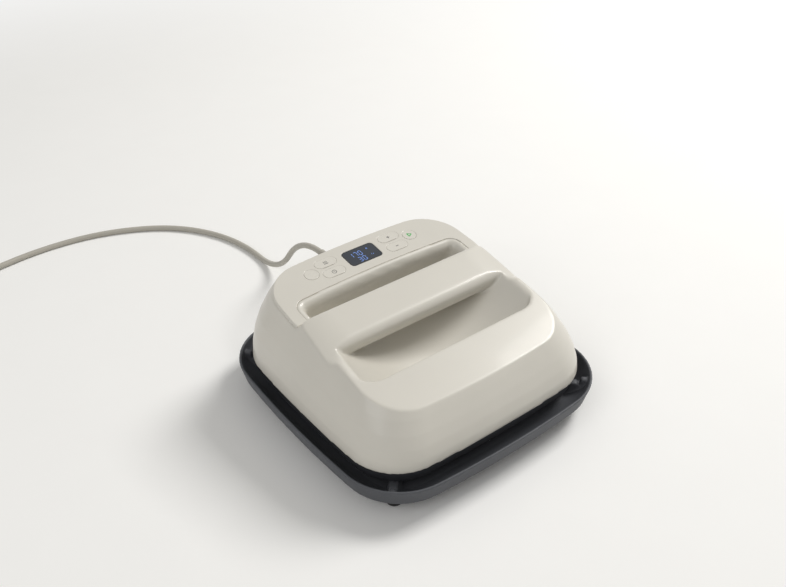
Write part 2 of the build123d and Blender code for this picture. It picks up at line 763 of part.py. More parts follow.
with BuildPart() as control_panel:
    add(shell.part)
    add(panel_zone(PANEL_GAP), mode=Mode.INTERSECT)
    with BuildSketch(panel_plane):
        for place in buttons.values():
            button_outline(place, BUTTON_FIT)
        with Locations(display_centre):
            RectangleRounded(
                DISPLAY_WIDTH - 2 * WINDOW_LEDGE,
                DISPLAY_DEPTH - 2 * WINDOW_LEDGE,
                DISPLAY_CORNER - WINDOW_LEDGE,
            )
    extrude(amount=-PANEL_THICKNESS, mode=Mode.SUBTRACT)
    with BuildSketch(panel_plane):
        with Locations(display_centre):
            RectangleRounded(
                DISPLAY_WIDTH + 2 * WINDOW_FIT, DISPLAY_DEPTH + 2 * WINDOW_FIT, DISPLAY_CORNER
            )
    extrude(amount=-WINDOW_THICKNESS, mode=Mode.SUBTRACT)
    with BuildSketch(panel_plane.offset(-PANEL_THICKNESS)):
        with Locations(display_centre):
            with GridLocations(
                CONTROL_BOARD_WIDTH - 2 * PANEL_POST_INSET,
                CONTROL_BOARD_DEPTH - 2 * PANEL_POST_INSET,
                2,
                2,
            ):
                RegularPolygon(PANEL_POST_DIAMETER / 2, BOSS_SIDES)
    extrude(amount=PANEL_THICKNESS - CONTROL_BOARD_DROP)
save(control_panel.part, "control_panel")

with BuildPart() as display_window:
    with BuildSketch(panel_plane):
        with Locations(display_centre):
            RectangleRounded(DISPLAY_WIDTH, DISPLAY_DEPTH, DISPLAY_CORNER - WINDOW_FIT)
    extrude(amount=-WINDOW_THICKNESS)
save(display_window.part, "display_window")

with BuildPart() as display_module:
    with BuildSketch(board_plane):
        with Locations(display_centre):
            Rectangle(MODULE_WIDTH, MODULE_DEPTH)
    extrude(amount=CONTROL_BOARD_DROP - PANEL_THICKNESS - MODULE_CLEARANCE)
save(display_module.part, "display_module")

with BuildPart() as control_board:
    with BuildSketch(board_plane):
        with Locations(display_centre):
            Rectangle(CONTROL_BOARD_WIDTH, CONTROL_BOARD_DEPTH)
    extrude(amount=-BOARD_THICKNESS)
    with BuildSketch(board_plane.offset(-BOARD_THICKNESS)):
        for chip_x, chip_width, chip_depth in CHIP_PLACES:
            with Locations((chip_x, DISPLAY_Y / panel_cos)):
                Rectangle(chip_width, chip_depth)
    extrude(amount=-CHIP_HEIGHT)
save(control_board.part, "control_board")

with BuildPart() as button_switches:
    with BuildSketch(board_plane):
        for x, y, form in buttons.values():
            with Locations((x, y / panel_cos)):
                Rectangle(SWITCH_SIDE, SWITCH_SIDE)
    extrude(amount=SWITCH_HEIGHT)
save(button_switches.part, "button_switches")

# Buttons: each has a cap, a flange that stops it under the panel and a stem above its switch
stem_length = (
    CONTROL_BOARD_DROP - SWITCH_HEIGHT - BUTTON_TRAVEL - PANEL_THICKNESS - BUTTON_FLANGE
    - 2 * FLANGE_CLEARANCE
)
for button_name, place in buttons.items():
    with BuildPart() as button:
        with BuildSketch(panel_plane.offset(BUTTON_PROUD)):
            button_outline(place, 0)
        extrude(amount=-BUTTON_PROUD - PANEL_THICKNESS - FLANGE_CLEARANCE)
        with BuildSketch(panel_plane.offset(-PANEL_THICKNESS - FLANGE_CLEARANCE)):
            with Locations((place[0], place[1] / panel_cos)):
                width = ROUND_BUTTON_DIAMETER if place[2] == "round" else PILL_LENGTH
                height = ROUND_BUTTON_DIAMETER if place[2] == "round" else PILL_HEIGHT
                Rectangle(width + 2 * BUTTON_FLANGE_REACH, height + 2 * BUTTON_FLANGE_REACH)
        extrude(amount=-BUTTON_FLANGE)
        with BuildSketch(panel_plane.offset(-PANEL_THICKNESS - FLANGE_CLEARANCE - BUTTON_FLANGE)):
            with Locations((place[0], place[1] / panel_cos)):
                Rectangle(BUTTON_STEM, BUTTON_STEM)
        extrude(amount=-stem_length)
    save(button.part, button_name)

with BuildPart() as buzzer:
    with BuildSketch(board_plane.offset(-BOARD_THICKNESS)):
        with Locations((BUZZER_X, DISPLAY_Y / panel_cos)):
            RegularPolygon(BUZZER_DIAMETER / 2, ROUND_SIDES)
    extrude(amount=-BUZZER_HEIGHT)
save(buzzer.part, "buzzer")


def tongue_outline(wall):
    """The skirt's tongue, inside the housing's wall and a further wall's thickness in."""
    inset = HOUSING_WALL + CAVITY_BOW_SAG + SKIRT_TONGUE_FIT + wall
    return chord_outline(BODY_WIDTH / 2 - inset, BODY_DEPTH / 2 - inset, BODY_CORNER - inset)


# Skirt: the charcoal band round the heat plate, with a tongue up inside the housing
with BuildPart() as skirt_band:
    loft(
        sections=[
            bowed_section(
                Plane.XY.offset(skirt_bottom),
                BODY_WIDTH / 2 - SKIRT_SET_BACK - SKIRT_TAPER,
                BODY_DEPTH / 2 - SKIRT_SET_BACK - SKIRT_TAPER,
                BODY_CORNER - SKIRT_SET_BACK - SKIRT_TAPER,
                BODY_BOW,
            ),
            bowed_section(
                Plane.XY.offset(body_z),
                BODY_WIDTH / 2 - SKIRT_SET_BACK,
                BODY_DEPTH / 2 - SKIRT_SET_BACK,
                BODY_CORNER - SKIRT_SET_BACK,
                BODY_BOW,
            ),
        ],
        ruled=True,
    )
    with BuildSketch(Plane.XY.offset(body_z)):
        Polygon(*tongue_outline(0), align=None)
        Polygon(*tongue_outline(SKIRT_TONGUE_WALL), align=None, mode=Mode.SUBTRACT)
    extrude(amount=SKIRT_TONGUE_HEIGHT)
    with BuildSketch(Plane.XY.offset(skirt_bottom)):
        opening = PLATE_SIDE + 2 * PLATE_RUNNING_GAP
        RectangleRounded(opening, opening, PLATE_CORNER + PLATE_RUNNING_GAP)
    extrude(amount=SKIRT_HEIGHT, mode=Mode.SUBTRACT)
save(skirt_band.part, "skirt_band")

# Heat plate and the layers above it
with BuildPart() as heat_plate:
    with BuildSketch(Plane.XY.offset(seat_z)):
        RectangleRounded(PLATE_SIDE, PLATE_SIDE, PLATE_CORNER)
    extrude(amount=PLATE_THICKNESS)
    chamfer(heat_plate.faces().sort_by(Axis.Z)[0].edges(), length=PLATE_EDGE_ROUND)
save(heat_plate.part, "heat_plate")

element_pitch = ELEMENT_SPAN / (ELEMENT_PASSES - 1)
with BuildPart() as heating_element:
    with BuildSketch(Plane.XY.offset(plate_top)):
        for index in range(ELEMENT_PASSES):
            with Locations((0, index * element_pitch - ELEMENT_SPAN / 2)):
                Rectangle(ELEMENT_LENGTH, ELEMENT_DIAMETER)
        for index in range(ELEMENT_PASSES - 1):
            side = 1 if index % 2 == 0 else -1
            centre_y = (index + 0.5) * element_pitch - ELEMENT_SPAN / 2
            with BuildSketch(mode=Mode.PRIVATE) as turn:
                RegularPolygon(element_pitch / 2 + ELEMENT_DIAMETER / 2, ELEMENT_SIDES)
                RegularPolygon(element_pitch / 2 - ELEMENT_DIAMETER / 2, ELEMENT_SIDES, mode=Mode.SUBTRACT)
                with Locations((-side * element_pitch, 0)):
                    Rectangle(2 * element_pitch, 3 * element_pitch, mode=Mode.SUBTRACT)
            with Locations((side * ELEMENT_LENGTH / 2, centre_y)):
                add(turn.sketch)
    extrude(amount=ELEMENT_DIAMETER)
save(heating_element.part, "heating_element")

with BuildPart() as insulation_pad:
    with BuildSketch(Plane.XY.offset(insulation_z)):
        RectangleRounded(INSULATION_SIDE, INSULATION_SIDE, INSULATION_CORNER)
        with GridLocations(2 * STANDOFF_SPREAD_X, 2 * STANDOFF_SPREAD_Y, 2, 2):
            RegularPolygon(STANDOFF_DIAMETER / 2 + STANDOFF_FIT, BOSS_SIDES, mode=Mode.SUBTRACT)
        Rectangle(SENSOR_WINDOW, SENSOR_WINDOW, mode=Mode.SUBTRACT)
    extrude(amount=INSULATION_THICKNESS)
save(insulation_pad.part, "insulation_pad")

with BuildPart() as heat_shield:
    with BuildSketch(Plane.XY.offset(shield_z)):
        shield_side = INSULATION_SIDE + 2 * SHIELD_LAP
        RectangleRounded(shield_side, shield_side, INSULATION_CORNER)
        with Locations((WIRE_HOLE_X, WIRE_HOLE_Y)):
            SlotOverall(WIRE_HOLE_LENGTH, WIRE_HOLE_WIDTH, mode=Mode.SUBTRACT)
    extrude(amount=SHIELD_THICKNESS)
save(heat_shield.part, "heat_shield")

with BuildPart() as plate_posts:
    with BuildSketch(Plane.XY.offset(plate_top)):
        with GridLocations(2 * STANDOFF_SPREAD_X, 2 * STANDOFF_SPREAD_Y, 2, 2):
            RegularPolygon(STANDOFF_DIAMETER / 2, BOSS_SIDES)
    extrude(amount=shield_z - plate_top)
save(plate_posts.part, "plate_posts")

# Temperature sensing on the plate's upper face: a thermistor and a thermal cut-out
with BuildPart() as thermistor:
    with BuildSketch(Plane.XY.offset(plate_top)):
        with Locations((SENSOR_X, 0)):
            Rectangle(THERMISTOR_FOOT[0], THERMISTOR_FOOT[1])
    extrude(amount=THERMISTOR_FOOT[2])
    with BuildSketch(Plane.XY.offset(plate_top + THERMISTOR_FOOT[2])):
        with Locations((SENSOR_X, 0)):
            Rectangle(THERMISTOR_BEAD[0], THERMISTOR_BEAD[1])
    extrude(amount=THERMISTOR_BEAD[2])
save(thermistor.part, "thermistor")

with BuildPart() as thermal_cutout:
    with BuildSketch(Plane.XY.offset(plate_top)):
        with Locations((-SENSOR_X, 0)):
            RegularPolygon(CUTOUT_FLANGE / 2, ROUND_SIDES)
    extrude(amount=CUTOUT_STEP)
    with BuildSketch(Plane.XY.offset(plate_top + CUTOUT_STEP)):
        with Locations((-SENSOR_X, 0)):
            RegularPolygon(CUTOUT_CAP / 2, ROUND_SIDES)
    extrude(amount=CUTOUT_STEP)
save(thermal_cutout.part, "thermal_cutout")

# Rear bay: an inner frame that carries the power board
frame_z = shield_z + SHIELD_THICKNESS + FRAME_CLEAR
with BuildPart() as inner_frame:
    with BuildSketch(Plane.XY.offset(frame_z)):
        with Locations((0, FRAME_CENTRE_Y)):
            Rectangle(FRAME_WIDTH, FRAME_DEPTH)
            for side in (-1, 1):
                with Locations((side * FRAME_WIDTH / 4, 0)):
                    Rectangle(
                        FRAME_WIDTH / 2 - FRAME_RIB,
                        FRAME_DEPTH - 2 * FRAME_RAIL,
                        mode=Mode.SUBTRACT,
                    )
    extrude(amount=FRAME_PLATE)
    with BuildSketch(Plane.XY.offset(frame_z + FRAME_PLATE)):
        with Locations((0, FRAME_CENTRE_Y)):
            with GridLocations(
                POWER_BOARD_WIDTH - 2 * POWER_POST_INSET_X,
                POWER_BOARD_DEPTH - 2 * POWER_POST_INSET_Y,
                2,
                2,
            ):
                RegularPolygon(POST_DIAMETER / 2, BOSS_SIDES)
    extrude(amount=FRAME_POST)
    with BuildSketch(Plane.XY.offset(shield_z + SHIELD_THICKNESS)):
        with Locations((0, FRAME_CENTRE_Y)):
            with GridLocations(
                FRAME_WIDTH - 2 * FRAME_POST_INSET, FRAME_DEPTH - 2 * FRAME_POST_INSET, 2, 2
            ):
                RegularPolygon(POST_DIAMETER / 2, BOSS_SIDES)
    extrude(amount=FRAME_CLEAR)
save(inner_frame.part, "inner_frame")

board_z = frame_z + FRAME_PLATE + FRAME_POST
with BuildPart() as power_board:
    with BuildSketch(Plane.XY.offset(board_z)):
        with Locations((0, FRAME_CENTRE_Y)):
            Rectangle(POWER_BOARD_WIDTH, POWER_BOARD_DEPTH)
    extrude(amount=BOARD_THICKNESS)
    with BuildSketch(Plane.XY.offset(board_z + BOARD_THICKNESS)):
        for x, y, width, depth in (FUSE_PLACE, TERMINAL_PLACE):
            with Locations((x, FRAME_CENTRE_Y + y)):
                Rectangle(width, depth)
    extrude(amount=TERMINAL_HEIGHT)
save(power_board.part, "power_board")

parts_z = board_z + BOARD_THICKNESS
with BuildPart() as transformer:
    with BuildSketch(Plane.XY.offset(parts_z)):
        with Locations((TRANSFORMER_X, FRAME_CENTRE_Y)):
            Rectangle(TRANSFORMER_SIZE[0], TRANSFORMER_SIZE[1])
    extrude(amount=TRANSFORMER_SIZE[2])
    with BuildSketch(Plane.XY.offset(parts_z + WINDING_REVEAL)):
        with Locations((TRANSFORMER_X, FRAME_CENTRE_Y)):
            Rectangle(
                TRANSFORMER_SIZE[0] - 2 * WINDING_INSET, TRANSFORMER_SIZE[1] + 2 * WINDING_OVERHANG
            )
    extrude(amount=TRANSFORMER_SIZE[2] - 2 * WINDING_REVEAL)
save(transformer.part, "transformer")

with BuildPart() as relay:
    with BuildSketch(Plane.XY.offset(parts_z)):
        with Locations((RELAY_X, FRAME_CENTRE_Y)):
            Rectangle(RELAY_SIZE[0], RELAY_SIZE[1])
    extrude(amount=RELAY_SIZE[2])
save(relay.part, "relay")

with BuildPart() as capacitor:
    with BuildSketch(Plane.XY.offset(parts_z)):
        with Locations((CAPACITOR_X, FRAME_CENTRE_Y)):
            RegularPolygon(CAPACITOR_DIAMETER / 2, ROUND_SIDES)
    extrude(amount=CAPACITOR_HEIGHT)
save(capacitor.part, "capacitor")

# Cord outlet: a tapered strain relief through the rear wall and a clamp inside
with BuildPart() as strain_relief:
    with BuildSketch(relief_plane.offset(RELIEF_INNER_FACE)):
        RegularPolygon(RELIEF_FLANGE / 2, RELIEF_SIDES)
    extrude(amount=RELIEF_FLANGE_THICKNESS)
    with BuildSketch(relief_plane.offset(RELIEF_INNER_FACE + RELIEF_FLANGE_THICKNESS)):
        RegularPolygon(RELIEF_ROOT / 2, RELIEF_SIDES)
    extrude(amount=RELIEF_TAPER_START - RELIEF_INNER_FACE - RELIEF_FLANGE_THICKNESS)
    with BuildSketch(relief_plane.offset(RELIEF_TAPER_START)):
        RegularPolygon(RELIEF_ROOT / 2, RELIEF_SIDES)
    relief_run = RELIEF_TIP_Y - RELIEF_TAPER_START
    apothem_share = math.cos(math.pi / RELIEF_SIDES)
    relief_slope = (RELIEF_ROOT - RELIEF_TIP) / 2 * apothem_share / relief_run
    extrude(amount=relief_run, taper=math.degrees(math.atan(relief_slope)))
save(strain_relief.part, "strain_relief")

with BuildPart() as cord_clamp:
    with BuildSketch(Plane.XY.offset(frame_z + FRAME_PLATE)):
        with Locations((0, CLAMP_Y)):
            Rectangle(CLAMP_WIDTH, CLAMP_DEPTH)
    extrude(amount=cord_exit_z + CLAMP_ABOVE_CORD - frame_z - FRAME_PLATE)
    with BuildSketch(relief_plane.offset(CLAMP_Y - CLAMP_DEPTH)):
        RegularPolygon(CORD_DIAMETER / 2 + CLAMP_FIT, RELIEF_SIDES)
    extrude(amount=2 * CLAMP_DEPTH, mode=Mode.SUBTRACT)
save(cord_clamp.part, "cord_clamp")

with BuildPart() as inner_lead:
    with BuildSketch(relief_plane.offset(CLAMP_Y - CLAMP_DEPTH / 2 - CLAMP_LEAD)):
        RegularPolygon(CORD_DIAMETER / 2, RELIEF_SIDES)
    extrude(amount=RELIEF_INNER_FACE - CLAMP_Y + CLAMP_DEPTH / 2 + CLAMP_LEAD)
save(inner_lead.part, "inner_lead")

# Base tray: a dished ring with a rounded rim, a ledge for the floor and four corner supports
ledge_z = floor_top - FLOOR_THICKNESS
tray_bottom = ledge_z - LEDGE_THICKNESS
dish_inset = TRAY_RIM + DISH_SWEEP


def tray_section(z, inset):
    return bowed_section(
        Plane.XY.offset(z),
        TRAY_WIDTH / 2 - inset,
        TRAY_DEPTH / 2 - inset,
        TRAY_CORNER - inset,
        TRAY_BOW,
    )


def sweep_sections(bottom, start_inset, sweep, rim_step, bands):
    """Sections down a concave wall: a quarter ellipse below a small rim chamfer."""
    sections = [tray_section(TRAY_RIM_Z, start_inset + rim_step)]
    top = TRAY_RIM_Z - RIM_ROUND
    for step in range(bands + 1):
        turn = math.pi / 2 * step / bands
        inset = start_inset + sweep * (1 - math.cos(turn))
        sections.append(tray_section(top - (top - bottom) * math.sin(turn), inset))
    return sections


with BuildPart() as corner_support:
    with BuildSketch(Plane.XZ):
        with BuildLine():
            Polyline(
                (SUPPORT_NOSE, floor_top),
                (SUPPORT_SEAT_START, seat_z),
                (SUPPORT_SEAT_END, seat_z),
                (SUPPORT_SEAT_END, seat_z - SUPPORT_NOTCH),
                (SUPPORT_TAB_START, seat_z - SUPPORT_NOTCH),
                (SUPPORT_TAB_START, seat_z + SUPPORT_TAB_RISE),
                (SUPPORT_TAB_END, seat_z + SUPPORT_TAB_RISE),
                (SUPPORT_TAB_END + SUPPORT_TAB_FLARE, seat_z - SUPPORT_NOTCH),
                (SUPPORT_HEEL_REACH, floor_top + SUPPORT_HEEL_RISE),
                (SUPPORT_HEEL_REACH - SUPPORT_HEEL_CUT, floor_top),
                close=True,
            )
        make_face()
    extrude(amount=SUPPORT_WIDTH / 2, both=True)
    with BuildSketch(Plane.YZ):
        with BuildLine():
            Polyline(
                (-SUPPORT_WIDTH / 2, floor_top),
                (SUPPORT_WIDTH / 2, floor_top),
                (SUPPORT_TOP_WIDTH / 2, seat_z + SUPPORT_TAB_RISE),
                (-SUPPORT_TOP_WIDTH / 2, seat_z + SUPPORT_TAB_RISE),
                close=True,
            )
        make_face()
    extrude(amount=OUTSIDE, mode=Mode.INTERSECT)

with BuildPart() as base_tray:
    under = sweep_sections(tray_bottom, 0, TRAY_UNDERCUT, RIM_ROUND, UNDER_BANDS)
    dish = sweep_sections(floor_top, TRAY_RIM, DISH_SWEEP, -RIM_ROUND, DISH_BANDS)
    loft(sections=under, ruled=True)
    loft(sections=dish, ruled=True, mode=Mode.SUBTRACT)
    extrude(tray_section(ledge_z, dish_inset), amount=FLOOR_THICKNESS, mode=Mode.SUBTRACT)
    extrude(
        tray_section(tray_bottom, dish_inset + LEDGE_WIDTH),
        amount=LEDGE_THICKNESS,
        mode=Mode.SUBTRACT,
    )
    with BuildSketch(Plane.XY.offset(tray_bottom)):
        with PolarLocations(FOOT_REACH, 4, 45):
            RegularPolygon(FOOT_PAD_RADIUS, PAD_SIDES)
    extrude(amount=LEDGE_THICKNESS)
    with BuildSketch(Plane.XY.offset(tray_bottom)):
        with PolarLocations(FOOT_REACH, 4, 45):
            RegularPolygon(FOOT_STEM_DIAMETER / 2 + FOOT_STEM_FIT, PAD_SIDES)
    extrude(amount=LEDGE_THICKNESS, mode=Mode.SUBTRACT)
    for quarter in range(4):
        add(corner_support.part.rotate(Axis.Z, 45 + 90 * quarter))
save(base_tray.part, "base_tray")

# Base floor: a plate perforated in rings whose holes swell and shrink from the middle outward
with BuildPart() as base_floor:
    extrude(tray_section(ledge_z, dish_inset + FLOOR_FIT), amount=FLOOR_THICKNESS)
    with BuildSketch(Plane.XY.offset(ledge_z)):
        ring_radius = FIRST_RING_RADIUS
        for ring in range(HOLE_RINGS):
            share = math.sin(math.pi * ring / (HOLE_RINGS - 1)) ** 2
            hole = (HOLE_LEAST + HOLE_SWELL * share) / 2
            for index in range(HOLES_PER_RING):
                angle = math.radians((index + 0.5 * ((ring + 1) % 2)) * 360 / HOLES_PER_RING)
                x = ring_radius * math.cos(angle)
                y = ring_radius * math.sin(angle)
                off_diagonal = abs(abs(x) - abs(y)) / math.sqrt(2)
                past_nose = ring_radius > SUPPORT_NOSE - SUPPORT_CLEARANCE
                near_support = off_diagonal < SUPPORT_CLEARANCE and past_nose
                in_field = max(abs(x), abs(y)) < HOLE_FIELD and not near_support
                if in_field and hole > FINE_HOLE:
                    with Locations((x, y)):
                        RegularPolygon(hole, HOLE_SIDES)
            ring_radius += RING_STEP_LEAST + RING_STEP_SWELL * math.sin(
                math.pi * (ring + RING_SWELL_SHIFT) / (HOLE_RINGS - RING_SWELL_TRIM)
            )
    extrude(amount=FLOOR_THICKNESS, mode=Mode.SUBTRACT)
save(base_floor.part, "base_floor")

with BuildPart() as base_feet:
    with BuildSketch():
        with PolarLocations(FOOT_REACH, 4, 45):
            RegularPolygon(FOOT_DIAMETER / 2, ROUND_SIDES)
    extrude(amount=tray_bottom)
    chamfer(base_feet.edges().group_by(Axis.Z)[0], length=FOOT_ROUND)
    with BuildSketch(Plane.XY.offset(tray_bottom)):
        with PolarLocations(FOOT_REACH, 4, 45):
            RegularPolygon(FOOT_STEM_DIAMETER / 2, PAD_SIDES)
    extrude(amount=LEDGE_THICKNESS)
save(base_feet.part, "base_feet")

# Power cord: straight out of its relief, down to the table, back, then round to the coil
cord_radius = CORD_DIAMETER / 2
coil_z = TIE_THICKNESS + TIE_FIT + cord_radius
lead_points = [
    (0, RELIEF_TIP_Y, cord_exit_z),
    (0, CORD_DROP_START, cord_exit_z),
    (0, CORD_LANDING, cord_radius),
    *[(x, y, cord_radius) for x, y in CORD_TABLE_ROUTE],
    (CORD_LIFT_X, COIL_START_Y, coil_z),
    (COIL_X, COIL_START_Y, coil_z),
]


def bend_radius(before, at, after):
    """The radius at a route's corner, a share of the shorter run beside it."""
    into = Vector(*at) - Vector(*before)
    out = Vector(*after) - Vector(*at)
    half_turn = math.radians(into.get_angle(out)) / 2
    return RUN_SHARE * min(into.length, out.length) / math.tan(half_turn)


lead_radii = [
    bend_radius(lead_points[i - 1], lead_points[i], lead_points[i + 1])
    for i in range(1, len(lead_points) - 1)
]
with BuildPart() as cord_lead:
    with BuildLine() as lead_path:
        FilletPolyline(*lead_points, radius=lead_radii)
    with BuildSketch(relief_plane.offset(RELIEF_TIP_Y)):
        RegularPolygon(cord_radius, LEAD_SIDES)
    sweep(path=lead_path.wire())
lead_length = lead_path.wire().length
print("lead length", round(lead_length, 1))
save(cord_lead.part, "cord_lead")

# Cord coil: two layers of half turns, in then out, climbing in the half turn where it reverses
half_pitch = (CORD_DIAMETER + COIL_TURN_GAP) / 2
upper_z = coil_z + CORD_DIAMETER + COIL_TURN_GAP
coil_radii = (
    [COIL_CLIMB_RADIUS + half_pitch * k for k in range(COIL_TURNS_IN, 0, -1)]
    + [COIL_CLIMB_RADIUS]
    + [COIL_CLIMB_RADIUS + half_pitch * k for k in range(1, COIL_TURNS_OUT + 1)]
)
coil_y = COIL_START_Y
coil_level = coil_z
with BuildPart() as cord_coil:
    with BuildLine() as coil_path:
        for index, radius in enumerate(coil_radii):
            side = -1 if index % 2 == 0 else 1
            finish_y = coil_y + side * 2 * radius
            next_level = upper_z if index >= COIL_TURNS_IN else coil_z
            reach = math.hypot(2 * radius, next_level - coil_level) / 2
            ThreePointArc(
                (COIL_X, coil_y, coil_level),
                (COIL_X + side * reach, (coil_y + finish_y) / 2, (coil_level + next_level) / 2),
                (COIL_X, finish_y, next_level),
            )
            coil_level = next_level
            coil_y = finish_y
        Line((COIL_X, coil_y, upper_z), (COIL_X - COIL_TAIL, coil_y, upper_z))
    with BuildSketch(Plane(origin=(COIL_X, COIL_START_Y, coil_z), z_dir=(-1, 0, 0))):
        RegularPolygon(cord_radius, COIL_SIDES)
    sweep(path=coil_path.wire())
coil_length = coil_path.wire().length
print("coil length", round(coil_length, 1), "end y", round(coil_y, 2))
save(cord_coil.part, "cord_coil")


def least_gap(edges):
    """The least clear distance between stretches of the coil that are more than a turn part apart."""
    points = []
    for edge in edges:
        count = max(2, int(edge.length / GAP_STEP))
        points += [edge.position_at(i / count) for i in range(count)]
    skip = int(math.pi * COIL_CLIMB_RADIUS / GAP_STEP)
    least = min(
        (points[i] - points[j]).length
        for i in range(0, len(points), 2)
        for j in range(i + skip, len(points), 2)
    )
    return least - CORD_DIAMETER


print("coil least gap", round(least_gap(coil_path.edges()), 2))

with BuildPart() as cord_tie:
    with BuildSketch(Plane.YZ.offset(COIL_X - TIE_WIDTH / 2)):
        tie_bottom_y = COIL_START_Y - TIE_FAR
        tie_top_y = COIL_START_Y - TIE_NEAR
        with Locations(((tie_bottom_y + tie_top_y) / 2, TIE_HEIGHT / 2)):
            Rectangle(tie_top_y - tie_bottom_y, TIE_HEIGHT)
            Rectangle(
                tie_top_y - tie_bottom_y - 2 * TIE_THICKNESS,
                TIE_HEIGHT - 2 * TIE_THICKNESS,
                mode=Mode.SUBTRACT,
            )
    extrude(amount=TIE_WIDTH)
save(cord_tie.part, "cord_tie")

# Plug: a tapered neck, a rounded body and three pins, lying beside the coil
plug_start = COIL_X - COIL_TAIL
plug_face = Plane(origin=(plug_start, coil_y, upper_z), z_dir=(-1, 0, 0))
with BuildPart() as plug_body:
    with BuildSketch(plug_face.offset(PLUG_NECK)):
        RegularPolygon(PLUG_NECK_ROOT / 2, RELIEF_SIDES)
    neck_slope = (PLUG_NECK_ROOT - PLUG_NECK_TIP) / 2 * apothem_share / PLUG_NECK
    extrude(amount=-PLUG_NECK, taper=math.degrees(math.atan(neck_slope)))
    with BuildSketch(plug_face.offset(PLUG_NECK)):
        Rectangle(2 * upper_z, PLUG_WIDTH)
    extrude(amount=PLUG_LENGTH)
    chamfer(plug_body.edges().filter_by(Axis.X).group_by(SortBy.LENGTH)[-1], length=PLUG_CORNER)
    chamfer(plug_body.faces().sort_by(Axis.X)[0].edges(), length=PLUG_CHAMFER)
save(plug_body.part, "plug_body")

with BuildPart() as plug_pins:
    with BuildSketch(plug_face.offset(PLUG_NECK + PLUG_LENGTH)):
        with Locations((PIN_DROP, -PIN_SPREAD / 2), (PIN_DROP, PIN_SPREAD / 2)):
            Rectangle(PIN_WIDTH, PIN_THICKNESS)
        with Locations((-EARTH_PIN_RISE, 0)):
            RegularPolygon(EARTH_PIN / 2, PAD_SIDES)
    extrude(amount=PIN_LENGTH)
save(plug_pins.part, "plug_pins")
print("cord length in all", round(lead_length + coil_length))
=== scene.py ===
import json
import math

import bmesh
import bpy
from mathutils import Matrix, Vector


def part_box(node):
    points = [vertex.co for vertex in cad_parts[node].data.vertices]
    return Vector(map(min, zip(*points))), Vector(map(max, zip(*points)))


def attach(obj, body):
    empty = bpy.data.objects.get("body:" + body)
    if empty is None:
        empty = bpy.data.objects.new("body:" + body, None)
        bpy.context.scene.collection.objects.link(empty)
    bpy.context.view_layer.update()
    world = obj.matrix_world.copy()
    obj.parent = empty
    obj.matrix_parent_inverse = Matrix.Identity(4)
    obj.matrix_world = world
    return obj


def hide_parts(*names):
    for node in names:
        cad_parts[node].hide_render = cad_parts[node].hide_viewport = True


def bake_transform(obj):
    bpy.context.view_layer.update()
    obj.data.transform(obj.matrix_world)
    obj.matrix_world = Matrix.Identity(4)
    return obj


# Dressing of the handheld heat press and its base, in the part's own frame, in metres.
# Lengths are in millimetres and are scaled by MM, but for the metres of the stage and its lamps.

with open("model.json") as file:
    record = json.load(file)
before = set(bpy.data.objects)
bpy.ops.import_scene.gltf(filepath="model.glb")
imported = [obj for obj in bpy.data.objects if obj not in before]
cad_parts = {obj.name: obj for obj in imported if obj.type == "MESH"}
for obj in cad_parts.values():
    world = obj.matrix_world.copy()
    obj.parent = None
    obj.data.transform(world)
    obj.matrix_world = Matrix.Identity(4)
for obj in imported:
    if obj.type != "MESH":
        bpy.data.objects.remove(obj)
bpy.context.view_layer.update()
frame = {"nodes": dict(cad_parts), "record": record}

MM = 0.001
scene = bpy.context.scene
collection = scene.collection


def link(name, data):
    piece = bpy.data.objects.new(name, data)
    collection.objects.link(piece)
    return piece


def settled(piece):
    """The piece with its modifiers applied to its mesh."""
    bpy.context.view_layer.update()
    graph = bpy.context.evaluated_depsgraph_get()
    mesh = bpy.data.meshes.new_from_object(piece.evaluated_get(graph))
    piece.modifiers.clear()
    piece.data = mesh
    return piece


def smooth(mesh):
    mesh.polygons.foreach_set("use_smooth", [True] * len(mesh.polygons))
    mesh.update()


def sharpened(mesh, degrees):
    """Smooth shading, but for the edges that turn by more than the angle."""
    smooth(mesh)
    mesh.set_sharp_from_angle(angle=math.radians(degrees))
    return mesh


def clamp(value):
    return max(0.0, min(1.0, value))


# Outlines, in millimetres
QUADRANTS = ((1, 1, 0), (-1, 1, 90), (-1, -1, 180), (1, -1, 270))


def circle(radius, count):
    angles = [2 * math.pi * step / count for step in range(count)]
    return [(radius * math.cos(angle), radius * math.sin(angle)) for angle in angles]


def pill(half_length, radius, count=48):
    """A round-ended outline; a circle where the half length is the radius."""
    points = []
    for step in range(count):
        angle = 2 * math.pi * (step + 0.5) / count
        shift = (half_length - radius) * (1 if math.cos(angle) > 0 else -1)
        points.append((shift + radius * math.cos(angle), radius * math.sin(angle)))
    return points


def rounded(half_x, half_y, corner, parts=8):
    """A rectangle with round corners."""
    points = []
    for side_x, side_y, start in QUADRANTS:
        for step in range(parts + 1):
            angle = math.radians(start + 90 * step / parts)
            x = side_x * (half_x - corner) + corner * math.cos(angle)
            y = side_y * (half_y - corner) + corner * math.sin(angle)
            points.append((x, y))
    return points


